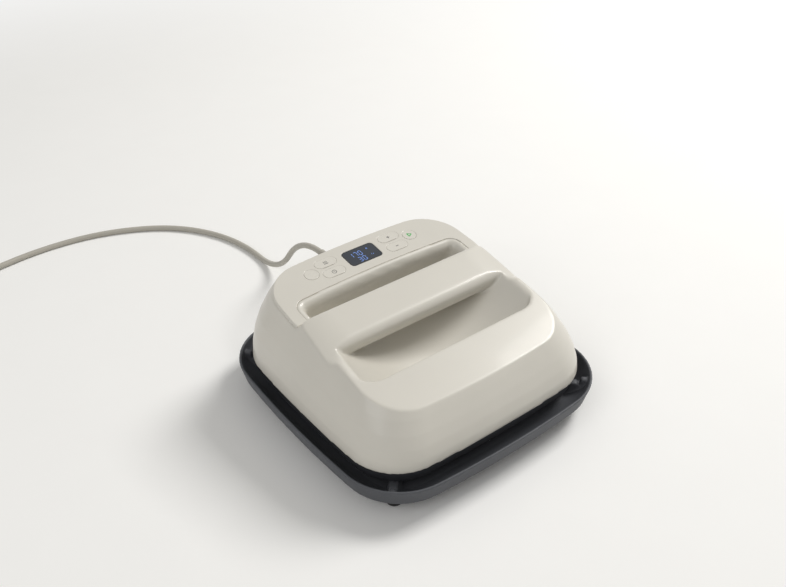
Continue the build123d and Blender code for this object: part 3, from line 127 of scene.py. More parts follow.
def bowed(half, corner, bow, inset, parts=14):
    """A rounded square whose sides bow out, as points on its eight arcs, set in by the inset."""
    half_x, half_y = half[0] - inset, half[1] - inset
    corner = corner - inset
    sine, sag = math.sin(bow), 1 - math.cos(bow)
    span = sine * sine - sag * sag
    side = ((half_y - corner) * sine - (half_x - corner) * sag) / span
    end = ((half_x - corner) * sine - (half_y - corner) * sag) / span
    turn = math.pi / 2 - bow
    reach_x, reach_y = end * sine, side * sine
    arcs = (
        (reach_x, reach_y, corner, bow, turn),
        (0, half_y - (end + corner), end + corner, turn, math.pi - turn),
        (-reach_x, reach_y, corner, math.pi - turn, math.pi - bow),
        (-half_x + side + corner, 0, side + corner, math.pi - bow, math.pi + bow),
        (-reach_x, -reach_y, corner, math.pi + bow, math.pi + turn),
        (0, -half_y + end + corner, end + corner, math.pi + turn, 2 * math.pi - turn),
        (reach_x, -reach_y, corner, 2 * math.pi - turn, 2 * math.pi - bow),
        (half_x - side - corner, 0, side + corner, -bow, bow),
    )
    points = []
    for centre_x, centre_y, radius, start, finish in arcs:
        for step in range(parts):
            angle = start + (finish - start) * step / parts
            x = centre_x + radius * math.cos(angle)
            y = centre_y + radius * math.sin(angle)
            points.append((x, y))
    return points


def squared(half, corner, towards):
    """A rounded square, as points in the directions of another outline's points."""
    points = []
    centre = half - corner
    for x, y in towards:
        length = math.hypot(x, y)
        along_x, along_y = abs(x) / length, abs(y) / length
        reach = half / max(along_x, along_y)
        if min(along_x, along_y) * reach > centre:
            along = centre * (along_x + along_y)
            reach = along + math.sqrt(along * along - 2 * centre * centre + corner * corner)
        points.append((reach * x / length, reach * y / length))
    return points


# Meshes through rings of points
def wall(start, following, count):
    """The faces between two rings whose points begin at these indices."""
    faces = []
    for step in range(count):
        after = (step + 1) % count
        faces.append((start + step, start + after, following + after, following + step))
    return faces


def lofted(name, rings, closed=False):
    """A mesh through rings in metres, with a face at both ends or closed into a sleeve."""
    count = len(rings[0])
    last = (len(rings) - 1) * count
    faces = []
    for index in range(len(rings) - 1):
        faces += wall(index * count, (index + 1) * count, count)
    if closed:
        faces += wall(last, 0, count)
    else:
        faces.append(tuple(reversed(range(count))))
        faces.append(tuple(range(last, last + count)))
    mesh = bpy.data.meshes.new(name)
    mesh.from_pydata([point for ring in rings for point in ring], [], faces)
    return mesh


def level(outline, height):
    """A level ring in metres."""
    return [(x * MM, y * MM, height * MM) for x, y in outline]


def turned(name, profile, count=40):
    """A closed turned form about +Z from rings of height and radius."""
    mesh = lofted(name, [level(circle(radius, count), height) for height, radius in profile])
    smooth(mesh)
    return mesh


# Camera at the photograph's viewing angle
CAMERA_PLACE = (-427.4, -520.6, 589.7)
CAMERA_FORWARD = (0.499, 0.645, -0.5785)
CAMERA_RIGHT = (0.791, -0.612, 0.0)
CAMERA_LENS = 41.86
SENSOR_WIDTH = 36.0

forward = Vector(CAMERA_FORWARD).normalized()
right = Vector(CAMERA_RIGHT).normalized()
upward = right.cross(forward)
camera_data = bpy.data.cameras.new("camera")
camera_data.lens = CAMERA_LENS
camera_data.sensor_width = SENSOR_WIDTH
camera_data.clip_start = 0.01
camera = link("camera", camera_data)
camera.matrix_world = Matrix(
    (
        (right.x, upward.x, -forward.x, CAMERA_PLACE[0] * MM),
        (right.y, upward.y, -forward.y, CAMERA_PLACE[1] * MM),
        (right.z, upward.z, -forward.z, CAMERA_PLACE[2] * MM),
        (0, 0, 0, 1),
    )
)
scene.camera = camera

# Materials: each has its own grain in colour, roughness and bump
COAT_ROUGHNESS = 0.08
DRIFT_BAND = (0.3, 0.7)
DRIFT_DETAIL = 3.0
GRAIN_DETAIL = 4.0
GRAIN_DEPTH = 0.2


def set_shader(material, socket, value):
    material.node_tree.nodes["Principled BSDF"].inputs[socket].default_value = value


def surface(
    name,
    colour,
    roughness,
    vary=0.03,
    patch=18.0,
    grain=900.0,
    bump=0.03,
    rough_vary=0.05,
    metallic=0.0,
    coat=0.0,
    sheen=0.0,
    specular=0.5,
):
    """A plastic, rubber or metal finish with slow colour drift and a fine surface grain."""
    material = bpy.data.materials.new(name)
    material.use_nodes = True
    tree = material.node_tree
    nodes = tree.nodes
    shader = nodes["Principled BSDF"]
    shader.inputs["Metallic"].default_value = metallic
    shader.inputs["Coat Weight"].default_value = coat
    shader.inputs["Coat Roughness"].default_value = COAT_ROUGHNESS
    shader.inputs["Sheen Weight"].default_value = sheen
    shader.inputs["Specular IOR Level"].default_value = specular
    place = nodes.new("ShaderNodeTexCoord")

    def noise(scale, detail):
        node = nodes.new("ShaderNodeTexNoise")
        node.inputs["Scale"].default_value = scale
        node.inputs["Detail"].default_value = detail
        tree.links.new(place.outputs["Object"], node.inputs["Vector"])
        return node

    drift = noise(patch, DRIFT_DETAIL)
    ramp = nodes.new("ShaderNodeValToRGB")
    dark, pale = ramp.color_ramp.elements
    dark.position, pale.position = DRIFT_BAND
    dark.color = (*[c * (1 - vary) for c in colour], 1)
    pale.color = (*[min(1.0, c * (1 + vary)) for c in colour], 1)
    tree.links.new(drift.outputs["Fac"], ramp.inputs["Fac"])
    tree.links.new(ramp.outputs["Color"], shader.inputs["Base Color"])
    fine = noise(grain, GRAIN_DETAIL)
    spread = nodes.new("ShaderNodeMapRange")
    spread.inputs["To Min"].default_value = max(0.02, roughness - rough_vary)
    spread.inputs["To Max"].default_value = min(1.0, roughness + rough_vary)
    tree.links.new(fine.outputs["Fac"], spread.inputs["Value"])
    tree.links.new(spread.outputs["Result"], shader.inputs["Roughness"])
    relief = nodes.new("ShaderNodeBump")
    relief.inputs["Strength"].default_value = bump
    relief.inputs["Distance"].default_value = GRAIN_DEPTH * MM
    tree.links.new(fine.outputs["Fac"], relief.inputs["Height"])
    tree.links.new(relief.outputs["Normal"], shader.inputs["Normal"])
    return material


GREIGE = (0.66, 0.635, 0.575)
PALE_GREIGE = (0.68, 0.655, 0.595)
SLATE = (0.080, 0.084, 0.094)
SHEATH = (0.42, 0.40, 0.35)
finishes = {
    "housing": surface(
        "housing_gloss", GREIGE, 0.34, vary=0.015, grain=1400, bump=0.02, coat=0.15
    ),
    "button": surface(
        "button_gloss", PALE_GREIGE, 0.28, vary=0.012, grain=1500, bump=0.02, coat=0.15
    ),
    "skirt": surface(
        "skirt_grain", (0.044, 0.046, 0.053), 0.5, vary=0.06, grain=2600, bump=0.18, specular=0.3
    ),
    "base_shell": surface(
        "base_grain", SLATE, 0.55, vary=0.07, grain=2200, bump=0.22, rough_vary=0.08, specular=0.35
    ),
    "base_floor": surface(
        "floor_powder", SLATE, 0.6, vary=0.07, grain=3000, bump=0.3, rough_vary=0.08, specular=0.35
    ),
    "feet": surface("foot_rubber", (0.014, 0.014, 0.015), 0.75, vary=0.1, grain=1800, bump=0.2),
    "cord": surface("cord_sheath", SHEATH, 0.42, grain=1800, bump=0.08),
    "strain_relief": surface("relief_rubber", (0.40, 0.38, 0.335), 0.48, grain=1600, bump=0.1),
    "tie": surface(
        "tie_tape", (0.016, 0.016, 0.017), 0.9, vary=0.2, grain=1500, bump=0.8, sheen=0.4
    ),
    "plug": surface("plug_moulding", SHEATH, 0.4, grain=1600, bump=0.08),
    "pins": surface(
        "pin_brass", (0.72, 0.55, 0.27), 0.22, vary=0.05, grain=700, bump=0.05, metallic=1.0
    ),
    "window": surface(
        "window_dark", (0.040, 0.047, 0.060), 0.16, vary=0.08, grain=500, bump=0.005, specular=0.25
    ),
    "display": surface("module_black", (0.012, 0.012, 0.014), 0.5, vary=0.1),
    "circuit_board": surface(
        "board_green", (0.015, 0.10, 0.035), 0.4, vary=0.15, patch=120, grain=1200
    ),
    "switch": surface("switch_black", (0.012, 0.012, 0.012), 0.45, vary=0.1),
    "plate": surface(
        "plate_coating", (0.045, 0.045, 0.048), 0.42, vary=0.1, grain=1800, bump=0.1, metallic=0.4
    ),
    "element": surface("element_steel", (0.45, 0.44, 0.42), 0.35, vary=0.12, patch=60, metallic=1.0),
    "insulation": surface(
        "insulation_felt", (0.72, 0.70, 0.60), 0.95, vary=0.08, grain=1100, bump=0.9, sheen=0.3
    ),
    "shield": surface("shield_foil", (0.75, 0.75, 0.76), 0.28, vary=0.04, patch=40, metallic=1.0),
    "post": surface("post_steel", (0.50, 0.50, 0.50), 0.3, vary=0.06, metallic=1.0),
    "sensor": surface("sensor_steel", (0.55, 0.55, 0.55), 0.3, vary=0.06, metallic=1.0),
    "inner_frame": surface("frame_grey", (0.075, 0.075, 0.08), 0.55, vary=0.06, bump=0.1),
    "transformer": surface("transformer_varnish", (0.025, 0.020, 0.018), 0.4, vary=0.15, patch=90),
    "relay": surface("relay_case", (0.012, 0.035, 0.16), 0.3, vary=0.05),
    "capacitor": surface("capacitor_sleeve", (0.010, 0.010, 0.02), 0.35, vary=0.05),
}
icon_grey = surface("icon_grey", (0.07, 0.07, 0.07), 0.5, vary=0.05)
icon_green = surface("icon_green", (0.035, 0.42, 0.075), 0.4, vary=0.05)
bezel_black = surface("bezel_black", (0.010, 0.011, 0.014), 0.25, vary=0.05)
digit_blue = surface("digit_blue", (0.15, 0.26, 0.60), 0.5, vary=0.05)
set_shader(digit_blue, "Emission Color", (0.16, 0.30, 0.85, 1))
set_shader(digit_blue, "Emission Strength", 0.4)


def dress(piece, body, slot, material=None, replaces=()):
    """Puts a new piece under its body, gives it the given material or else its slot's finish, and
    hides the nodes that it stands for.
    """
    if body:
        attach(piece, body)
    piece.data.materials.clear()
    piece.data.materials.append(material or finishes[slot])
    if replaces:
        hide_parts(*replaces)
    return piece


slots = {row["node"]: row["material_slot"] for row in frame["record"]["subparts"]}
for node, carried in frame["nodes"].items():
    for holder in carried.material_slots:
        holder.material = finishes[slots[node]]

# Power cord: from the housing to the table and round its coil, as one spline
CORD_RADIUS = 3.2
CORD_EXIT_HEIGHT = 78.0
COIL_X = -352.0
COIL_START_Y = 449.0
COIL_LOW = 4.55
COIL_HIGH = 11.5
COIL_INNER_RADIUS = 21.2
COIL_STEP = 3.475
HALVES_INWARD = 5
HALVES_OUTWARD = 6
POINTS_PER_HALF = 8
COIL_ENTRY = 24.0
COIL_EXIT = 14.0
lead_points = [
    (0, 153, CORD_EXIT_HEIGHT),
    (0, 193, CORD_EXIT_HEIGHT),
    (0, 245, CORD_RADIUS),
    (0, 335, CORD_RADIUS),
    (-42, 409, CORD_RADIUS),
    (-116, 451, CORD_RADIUS),
    (-195, 462, CORD_RADIUS),
    (-274, 449, COIL_LOW),
    (COIL_X + COIL_ENTRY, COIL_START_Y, COIL_LOW),
]
radii = [COIL_INNER_RADIUS + COIL_STEP * k for k in range(HALVES_INWARD, 0, -1)]
radii += [COIL_INNER_RADIUS]
radii += [COIL_INNER_RADIUS + COIL_STEP * k for k in range(1, HALVES_OUTWARD + 1)]
stretch = 1 / math.cos(math.pi / POINTS_PER_HALF / 2)
coil_points = []
coil_y = COIL_START_Y
coil_level = COIL_LOW
for index, radius in enumerate(radii):
    side = -1 if index % 2 == 0 else 1
    next_level = COIL_HIGH if index >= HALVES_INWARD else COIL_LOW
    for step in range(POINTS_PER_HALF):
        turn = math.pi * (step + 0.5) / POINTS_PER_HALF
        x = COIL_X + side * radius * stretch * math.sin(turn)
        y = coil_y + side * radius * (1 - stretch * math.cos(turn))
        z = coil_level + (next_level - coil_level) * (1 - math.cos(turn)) / 2
        coil_points.append((x, y, z))
    coil_y += side * 2 * radius
    coil_level = next_level
coil_points.append((COIL_X - COIL_EXIT, coil_y, COIL_HIGH))

cord_curve = bpy.data.curves.new("cord_line", "CURVE")
cord_curve.dimensions = "3D"
cord_curve.resolution_u = 10
spline = cord_curve.splines.new("NURBS")
route = lead_points + coil_points
spline.points.add(len(route) - 1)
for point, (x, y, z) in zip(spline.points, route):
    point.co = (x * MM, y * MM, z * MM, 1)
spline.order_u = 3
spline.use_endpoint_u = True
cord_line = link("cord_line", cord_curve)
bare = bpy.data.meshes.new_from_object(cord_line)
cord_curve.bevel_depth = CORD_RADIUS * MM
cord_curve.bevel_resolution = 4
cord_curve.use_fill_caps = True
cord_mesh = bpy.data.meshes.new_from_object(cord_line)
bpy.data.objects.remove(cord_line)
smooth(cord_mesh)
cord = link("power_cord", cord_mesh)
dress(cord, None, "cord", replaces=("cord_lead", "cord_coil"))
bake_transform(cord)

# Panel plane, on which the display and the buttons are placed
PANEL_RISE = 102.0
PANEL_SLOPE = 0.14
panel_turn = math.atan(PANEL_SLOPE)
panel_cos = math.cos(panel_turn)
panel_frame = Matrix.Translation((0, 0, PANEL_RISE * MM)) @ Matrix.Rotation(panel_turn, 4, "X")


def on_panel(points):
    """Points given on the panel plane, in the part's frame in metres."""
    return [panel_frame @ Vector((x * MM, y * MM, z * MM)) for x, y, z in points]


def panel_ring(outline, centre, height):
    return on_panel([(centre[0] + x, centre[1] + y, height) for x, y in outline])


# Buttons: thin caps with a rounded edge and a shallow dish, as insets and heights
CAP_PROFILE = (
    (0.0, -2.4),
    (0.0, -0.04),
    (0.05, 0.04),
    (0.16, 0.09),
    (0.4, 0.11),
    (0.9, 0.10),
    (1.6, 0.07),
    (2.8, 0.04),
    (4.0, 0.03),
)
ROUND_HALF = 7.02
PILL_HALF = 11.62
PILL_RADIUS = 5.62
ROUND_X = 57.8
ROUND_Y = 80.6 / panel_cos
PILL_X = 37.2
PILL_REAR_Y = 88.2 / panel_cos
PILL_FRONT_Y = 73.2 / panel_cos
button_places = {
    "power_button": (-ROUND_X, ROUND_Y, ROUND_HALF, ROUND_HALF),
    "temperature_button": (-PILL_X, PILL_REAR_Y, PILL_HALF, PILL_RADIUS),
    "timer_button": (-PILL_X, PILL_FRONT_Y, PILL_HALF, PILL_RADIUS),
    "plus_button": (PILL_X, PILL_REAR_Y, PILL_HALF, PILL_RADIUS),
    "minus_button": (PILL_X, PILL_FRONT_Y, PILL_HALF, PILL_RADIUS),
    "start_button": (ROUND_X, ROUND_Y, ROUND_HALF, ROUND_HALF),
}
for button, (x, y, half, radius) in button_places.items():
    cap_rings = []
    for inset, height in CAP_PROFILE:
        cap_rings.append(panel_ring(pill(half - inset, radius - inset), (x, y), height))
    cap_mesh = lofted(button + "_cap", cap_rings)
    smooth(cap_mesh)
    dress(link(button + "_cap", cap_mesh), button + "_cap", "button", replaces=(button,))


# Strokes of the buttons' marks and of the display, drawn about a centre
def bar(start, end, width):
    """A straight stroke's four corners."""
    (x0, y0), (x1, y1) = start, end
    length = math.hypot(x1 - x0, y1 - y0)
    nx = -(y1 - y0) / length * width / 2
    ny = (x1 - x0) / length * width / 2
    return [(x0 + nx, y0 + ny), (x0 - nx, y0 - ny), (x1 - nx, y1 - ny), (x1 + nx, y1 + ny)]


def hoop(centre, radius, width, parts):
    """A round stroke as short straight ones."""
    inner, outer = radius - width / 2, radius + width / 2
    outlines = []
    for step in range(parts):
        start = 2 * math.pi * step / parts
        finish = 2 * math.pi * (step + 1) / parts
        outline = []
        for reach, angle in ((outer, start), (inner, start), (inner, finish), (outer, finish)):
            x = centre[0] + reach * math.cos(angle)
            y = centre[1] + reach * math.sin(angle)
            outline.append((x, y))
        outlines.append(outline)
    return outlines


def strokes(name, body, material, slot, outlines, centre, low, high):
    """Thin raised strokes on the panel plane, as one piece."""
    vertices = []
    faces = []
    for outline in outlines:
        count = len(outline)
        start = len(vertices)
        vertices += panel_ring(outline, centre, low) + panel_ring(outline, centre, high)
        faces.append(tuple(reversed(range(start, start + count))))
        faces.append(tuple(range(start + count, start + 2 * count)))
        faces += wall(start, start + count, count)
    mesh = bpy.data.meshes.new(name)
    mesh.from_pydata(vertices, [], faces)
    mesh.validate()
    dress(link(name, mesh), body, slot, material)


MARK_LOW = 0.0
MARK_HIGH = 0.09
SIGN_WIDTH = 0.7
HAND_WIDTH = 0.45
PLUS_HALF = 1.6
PLUS_GAP = 0.35
MINUS_HALF = 1.7
CLOCK_RADIUS = 2.2
CLOCK_WIDTH = 0.5
CLOCK_PARTS = 28
LONG_HAND = 1.4
SHORT_HAND = 1.1
HEAT_BARS = (-1.5, 0, 1.5)
HEAT_BAR_ENDS = (-0.6, 2.0)
HEAT_BAR_WIDTH = 0.55
HEAT_FLOOR_HALF = 2.3
HEAT_FLOOR = -1.6
START_REACH = 2.7
START_WIDTH = 1.0
plus_lines = [
    bar((-PLUS_HALF, 0), (PLUS_HALF, 0), SIGN_WIDTH),
    bar((0, -PLUS_HALF), (0, -PLUS_GAP), SIGN_WIDTH),
    bar((0, PLUS_GAP), (0, PLUS_HALF), SIGN_WIDTH),
]
minus_lines = [bar((-MINUS_HALF, 0), (MINUS_HALF, 0), SIGN_WIDTH)]
clock_lines = hoop((0, 0), CLOCK_RADIUS, CLOCK_WIDTH, CLOCK_PARTS)
clock_lines += [bar((0, 0), (0, LONG_HAND), HAND_WIDTH)]
clock_lines += [bar((0.23, 0), (SHORT_HAND, 0), HAND_WIDTH)]
heat_lines = [bar((x, HEAT_BAR_ENDS[0]), (x, HEAT_BAR_ENDS[1]), HEAT_BAR_WIDTH) for x in HEAT_BARS]
heat_lines += [bar((-HEAT_FLOOR_HALF, HEAT_FLOOR), (HEAT_FLOOR_HALF, HEAT_FLOOR), SIGN_WIDTH)]
corners = circle(START_REACH, 3)
start_lines = [bar(corners[i], corners[(i + 1) % 3], START_WIDTH) for i in range(3)]
marks = (
    ("plus", icon_grey, plus_lines),
    ("minus", icon_grey, minus_lines),
    ("timer", icon_grey, clock_lines),
    ("temperature", icon_grey, heat_lines),
    ("start", icon_green, start_lines),
)
for key, material, lines in marks:
    centre = button_places[key + "_button"][:2]
    cap_body = key + "_button_cap"
    strokes(key + "_mark", cap_body, material, "button", lines, centre, MARK_LOW, MARK_HIGH)

# Display: a dark rounded window with a black edge and blue digits
WINDOW_HALF = (18.3, 11.0)
WINDOW_CORNER = 4.4
WINDOW_PROFILE = ((0.0, -1.4), (0.0, -0.16), (0.12, -0.04), (0.3, 0.0))
BEZEL_INSET = 0.3
BEZEL_WIDTH = 1.3
BEZEL_LOW = -0.05
BEZEL_HIGH = 0.02
display_centre = (0, ROUND_Y)


def window_outline(inset):
    return rounded(WINDOW_HALF[0] - inset, WINDOW_HALF[1] - inset, WINDOW_CORNER - inset)


window_rings = []
for inset, height in WINDOW_PROFILE:
    window_rings.append(panel_ring(window_outline(inset), display_centre, height))
window = link("window_pane", lofted("window_pane", window_rings))
dress(window, "press", "window", replaces=("display_window",))
outer = window_outline(BEZEL_INSET)
inner = window_outline(BEZEL_WIDTH)
bezel_sides = []
for step in range(len(outer)):
    after = (step + 1) % len(outer)
    bezel_sides.append([outer[step], outer[after], inner[after], inner[step]])
strokes(
    "display_bezel",
    "press",
    bezel_black,
    "window",
    bezel_sides,
    display_centre,
    BEZEL_LOW,
    BEZEL_HIGH,
)

SEGMENTS = {"0": "abcdef", "1": "bc", "3": "abcdg", "7": "abc"}
DIGIT_HALF_WIDTH = 1.5
DIGIT_HALF_HEIGHT = 3.0
DIGIT_STROKE = 0.62
DIGIT_GAP = DIGIT_STROKE * 0.6
DIGIT_LOW = -0.05
DIGIT_HIGH = 0.03
UPPER_ROW = 2.6
LOWER_ROW = -5.6
DIGIT_COLUMNS = (-10.6, -5.4, -0.4)
DEGREE_PLACE = (8.8, 5.0)
DEGREE_RADIUS = 0.7
DEGREE_WIDTH = 0.4
SECONDS_TICKS = (((8.2, -5.0), (9.0, -3.8)), ((9.8, -5.6), (10.6, -4.4)))


def digit(symbol, x, y):
    """One digit's strokes, on seven segments, centred at a point."""
    w, h, g = DIGIT_HALF_WIDTH, DIGIT_HALF_HEIGHT, DIGIT_GAP
    ends = {
        "a": ((x - w + g, y + h), (x + w - g, y + h)),
        "b": ((x + w, y + h - g), (x + w, y + g)),
        "c": ((x + w, y - g), (x + w, y - h + g)),
        "d": ((x - w + g, y - h), (x + w - g, y - h)),
        "e": ((x - w, y - g), (x - w, y - h + g)),
        "f": ((x - w, y + h - g), (x - w, y + g)),
        "g": ((x - w + g, y), (x + w - g, y)),
    }
    return [bar(*ends[key], DIGIT_STROKE) for key in SEGMENTS[symbol]]


figures = []
for symbol, x in zip("170", DIGIT_COLUMNS):
    figures += digit(symbol, x, UPPER_ROW)
for symbol, x in zip("30", DIGIT_COLUMNS[1:]):
    figures += digit(symbol, x, LOWER_ROW)
figures += hoop(DEGREE_PLACE, DEGREE_RADIUS, DEGREE_WIDTH, 12)
figures += [bar(start, end, HAND_WIDTH) for start, end in SECONDS_TICKS]
strokes(
    "display_digits",
    "press",
    digit_blue,
    "display",
    figures,
    display_centre,
    DIGIT_LOW,
    DIGIT_HIGH,
)


# Moulded pieces: the part's own shape with its edges eased, its walls fair and a wider hollow
# in the tray
def levelled(piece, height):
    """Ends the piece's foot on one plane, with a crisp edge round it."""
    shape = bmesh.new()
    shape.from_mesh(piece.data)
    shape.transform(piece.matrix_world)
    whole = shape.verts[:] + shape.edges[:] + shape.faces[:]
    bmesh.ops.bisect_plane(
        shape, geom=whole, dist=1e-7, plane_co=(0, 0, height), plane_no=(0, 0, 1)
    )
    for vertex in shape.verts:
        vertex.co.z = max(vertex.co.z, height)
    for edge in shape.edges:
        if max(vertex.co.z for vertex in edge.verts) < height + 1e-6:
            edge.smooth = False
    shape.transform(piece.matrix_world.inverted())
    shape.to_mesh(piece.data)
    shape.free()


def joined(mesh, added):
    """Adds the second mesh to the first."""
    whole = bmesh.new()
    whole.from_mesh(mesh)
    whole.from_mesh(added)
    whole.to_mesh(mesh)
    whole.free()


SMOOTH_FACTOR = 0.5
EASING_PASSES = 60


def softened(piece, name, passes):
    """A smoothing modifier on the piece."""
    modifier = piece.modifiers.new(name, "SMOOTH")
    modifier.factor = SMOOTH_FACTOR
    modifier.iterations = passes
    return modifier


def moulded(node, body, slot, voxel, passes, keep, easing=None, added=None, foot=None):
    """Remeshes a copy of the node with what is added to it and smooths it, more where eased."""
    source = frame["nodes"][node]
    mesh = source.data.copy()
    if added:
        added.transform(source.matrix_world.inverted())
        joined(mesh, added)
    piece = link(node + "_moulding", mesh)
    piece.matrix_world = source.matrix_world
    remesh = piece.modifiers.new("remesh", "REMESH")
    remesh.mode = "VOXEL"
    remesh.voxel_size = voxel * MM
    softened(piece, "fair", passes)
    if easing:
        settled(piece)
        group = piece.vertex_groups.new(name="eased")
        for vertex in piece.data.vertices:
            place = piece.matrix_world @ vertex.co
            weight = easing(abs(place.x) / MM, place.y / MM, place.z / MM)
            if weight > 0:
                group.add([vertex.index], weight, "REPLACE")
        softened(piece, "ease", EASING_PASSES).vertex_group = "eased"
    thin = piece.modifiers.new("thin", "DECIMATE")
    thin.ratio = keep
    settled(piece)
    smooth(piece.data)
    if foot:
        levelled(piece, foot * MM)
    dress(piece, body, slot, replaces=(node,))


HOUSING_FOOT = 39.6
SADDLE_FRONT = (104, -27, 92)
SADDLE_FRONT_REACH = (22, 14, 26)
SADDLE_REAR = (110, 28, 102)
SADDLE_REAR_REACH = (16, 7, 14)
WELL_HALF = 98
WELL_FRONT = 29
WELL_REAR = 63
WELL_LIP = 1.2
WELL_SIDE_SPREAD = 6
WELL_END_SPREAD = 3
WELL_DEPTH_SPREAD = 1.5
EAR_SIDE = 97
EAR_SIDE_SPREAD = 4
EAR_FRONT = 38
EAR_FRONT_SPREAD = 5


def near(place, centre, reach):
    """1 within half the reach of the centre, falling to 0 at the reach."""
    parts = [(at - middle) / size for at, middle, size in zip(place, centre, reach)]
    return clamp(2.0 - 2.0 * math.hypot(*parts))


def housing_ease(x, y, z):
    """How much a place is eased: at both ends of the saddle and down the rear well's wall."""
    front_end = near((x, y, z), SADDLE_FRONT, SADDLE_FRONT_REACH)
    rear_end = near((x, y, z), SADDLE_REAR, SADDLE_REAR_REACH)
    below_panel = PANEL_RISE + PANEL_SLOPE * y - z
    across = (WELL_HALF - x) / WELL_SIDE_SPREAD
    along = min(y - WELL_FRONT, WELL_REAR - y) / WELL_END_SPREAD
    in_well = min(across, along, (below_panel - WELL_LIP) / WELL_DEPTH_SPREAD)
    return max(front_end, rear_end, clamp(in_well))


def ear_ease(x, y, z):
    """How much a place on the panel is eased: the front ends of its two ears."""
    return clamp((x - EAR_SIDE) / EAR_SIDE_SPREAD) * clamp((EAR_FRONT - y) / EAR_FRONT_SPREAD)


moulded(
    "upper_housing",
    "press",
    "housing",
    voxel=1.0,
    passes=12,
    keep=0.35,
    easing=housing_ease,
    foot=HOUSING_FOOT,
)
moulded("control_panel", "press", "housing", voxel=0.5, passes=2, keep=0.3, easing=ear_ease)

# Skirt: the dark band round the heat plate, whole at its corners
SKIRT_HALF = (126.6, 121.6)
SKIRT_CORNER = 48.6
SKIRT_TAPER = 2.8
SKIRT_BOW = math.radians(3.6)
SKIRT_LOW = 27.0
SKIRT_HIGH = HOUSING_FOOT
SKIRT_EASE = 0.4
OPENING_HALF = 115.8
OPENING_CORNER = 42.0
CRISP_ANGLE = 35


def skirt_outline(inset):
    return bowed(SKIRT_HALF, SKIRT_CORNER, SKIRT_BOW, inset)


opening = squared(OPENING_HALF, OPENING_CORNER, skirt_outline(SKIRT_TAPER))
skirt_rings = [
    level(opening, SKIRT_LOW),
    level(skirt_outline(SKIRT_TAPER + SKIRT_EASE), SKIRT_LOW),
    level(skirt_outline(SKIRT_TAPER), SKIRT_LOW + SKIRT_EASE),
    level(skirt_outline(0.0), SKIRT_HIGH - SKIRT_EASE),
    level(skirt_outline(SKIRT_EASE), SKIRT_HIGH),
    level(opening, SKIRT_HIGH),
]
skirt_mesh = lofted("skirt_ring", skirt_rings, closed=True)
skirt = link("skirt_ring", sharpened(skirt_mesh, CRISP_ANGLE))
dress(skirt, "press", "skirt", replaces=("skirt_band",))

# Heat plate: its corners as round as the skirt's opening, as insets and heights
PLATE_HALF = 114.3
PLATE_CORNER = 40.5
PLATE_PROFILE = ((1.0, 25.0), (0.3, 25.3), (0.0, 26.0), (0.0, 31.0))
plate_rings = []
for inset, height in PLATE_PROFILE:
    outline = squared(PLATE_HALF - inset, PLATE_CORNER - inset, skirt_outline(SKIRT_TAPER))
    plate_rings.append(level(outline, height))
plate = link("plate_face", sharpened(lofted("plate_face", plate_rings), CRISP_ANGLE))
dress(plate, "press", "plate", replaces=("heat_plate",))

# Tray: its dish runs from the rim down onto the floor in one wide hollow
TRAY_HALF = (140.0, 139.0)
TRAY_CORNER = 60.0
TRAY_BOW = math.radians(4.2)
RIM_TOP = 33.2
RIM_INSET = 2.6
DISH_START = 0.2
DISH_SWEEP = 26.0
DISH_FOOT = 13.3
DISH_UNDER = 11.6
DISH_STEPS = 14
DISH_BACK = ((15.0, DISH_UNDER), (8.0, 15.5), (3.4, 24.0), (1.6, 32.0))
dish_profile = []
for step in range(DISH_STEPS + 1):
    turn = math.pi / 2 * step / DISH_STEPS
    inset = RIM_INSET + DISH_START + DISH_SWEEP * (1 - math.cos(turn))
    dish_profile.append((inset, RIM_TOP - (RIM_TOP - DISH_FOOT) * math.sin(turn)))
dish_profile.append((RIM_INSET + DISH_SWEEP, DISH_UNDER))
dish_profile += DISH_BACK
dish_rings = []
for inset, height in dish_profile:
    dish_rings.append(level(bowed(TRAY_HALF, TRAY_CORNER, TRAY_BOW, inset), height))
dish = lofted("dish_hollow", dish_rings, closed=True)
moulded("base_tray", "base", "base_shell", voxel=1.1, passes=6, keep=0.35, added=dish)

# Base floor: the perforated sheet with rings of round holes, as radii and hole sizes
FLOOR_TOP = 13.8
FLOOR_THICKNESS = 2.4
FLOOR_EDGE = 0.2
HOLE_RINGS = (
    (26.8, 2.4),
    (33.2, 2.8),
    (41.4, 3.5),
    (50.9, 4.5),
    (61.2, 5.5),
    (71.8, 6.0),
    (82.2, 6.0),
    (91.9, 4.8),
    (100.5, 3.8),
    (107.8, 3.5),
    (115.1, 2.9),
)
HOLES_PER_RING = 24
HOLE_SIDES = 20
HOLE_FIELD = 108.0
SUPPORT_CLEARANCE = 9.0
FLOOR_CORNER = 41.4
FLOOR_TURN = 4.2
FLOOR_STEPS = 10
SIDE_BOW = 3.2
FLOOR_REACH = 0.5
floor_half_x, floor_half_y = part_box("base_floor")[1][:2]


def floor_outline():
    """The floor's bowed square outline."""
    points = []
    half_x = floor_half_x / MM - SIDE_BOW + FLOOR_REACH
    half_y = floor_half_y / MM - SIDE_BOW + FLOOR_REACH
    for side_x, side_y, start in QUADRANTS:
        for step in range(FLOOR_STEPS + 1):
            turn = start + FLOOR_TURN + (90 - 2 * FLOOR_TURN) * step / FLOOR_STEPS
            angle = math.radians(turn)
            x = side_x * (half_x - FLOOR_CORNER) + FLOOR_CORNER * math.cos(angle)
            y = side_y * (half_y - FLOOR_CORNER) + FLOOR_CORNER * math.sin(angle)
            points.append((x, y))
    return points


def closed_spline(curve, points):
    line = curve.splines.new("POLY")
    line.points.add(len(points) - 1)
    for point, (x, y) in zip(line.points, points):
        point.co = (x * MM, y * MM, 0, 1)
    line.use_cyclic_u = True


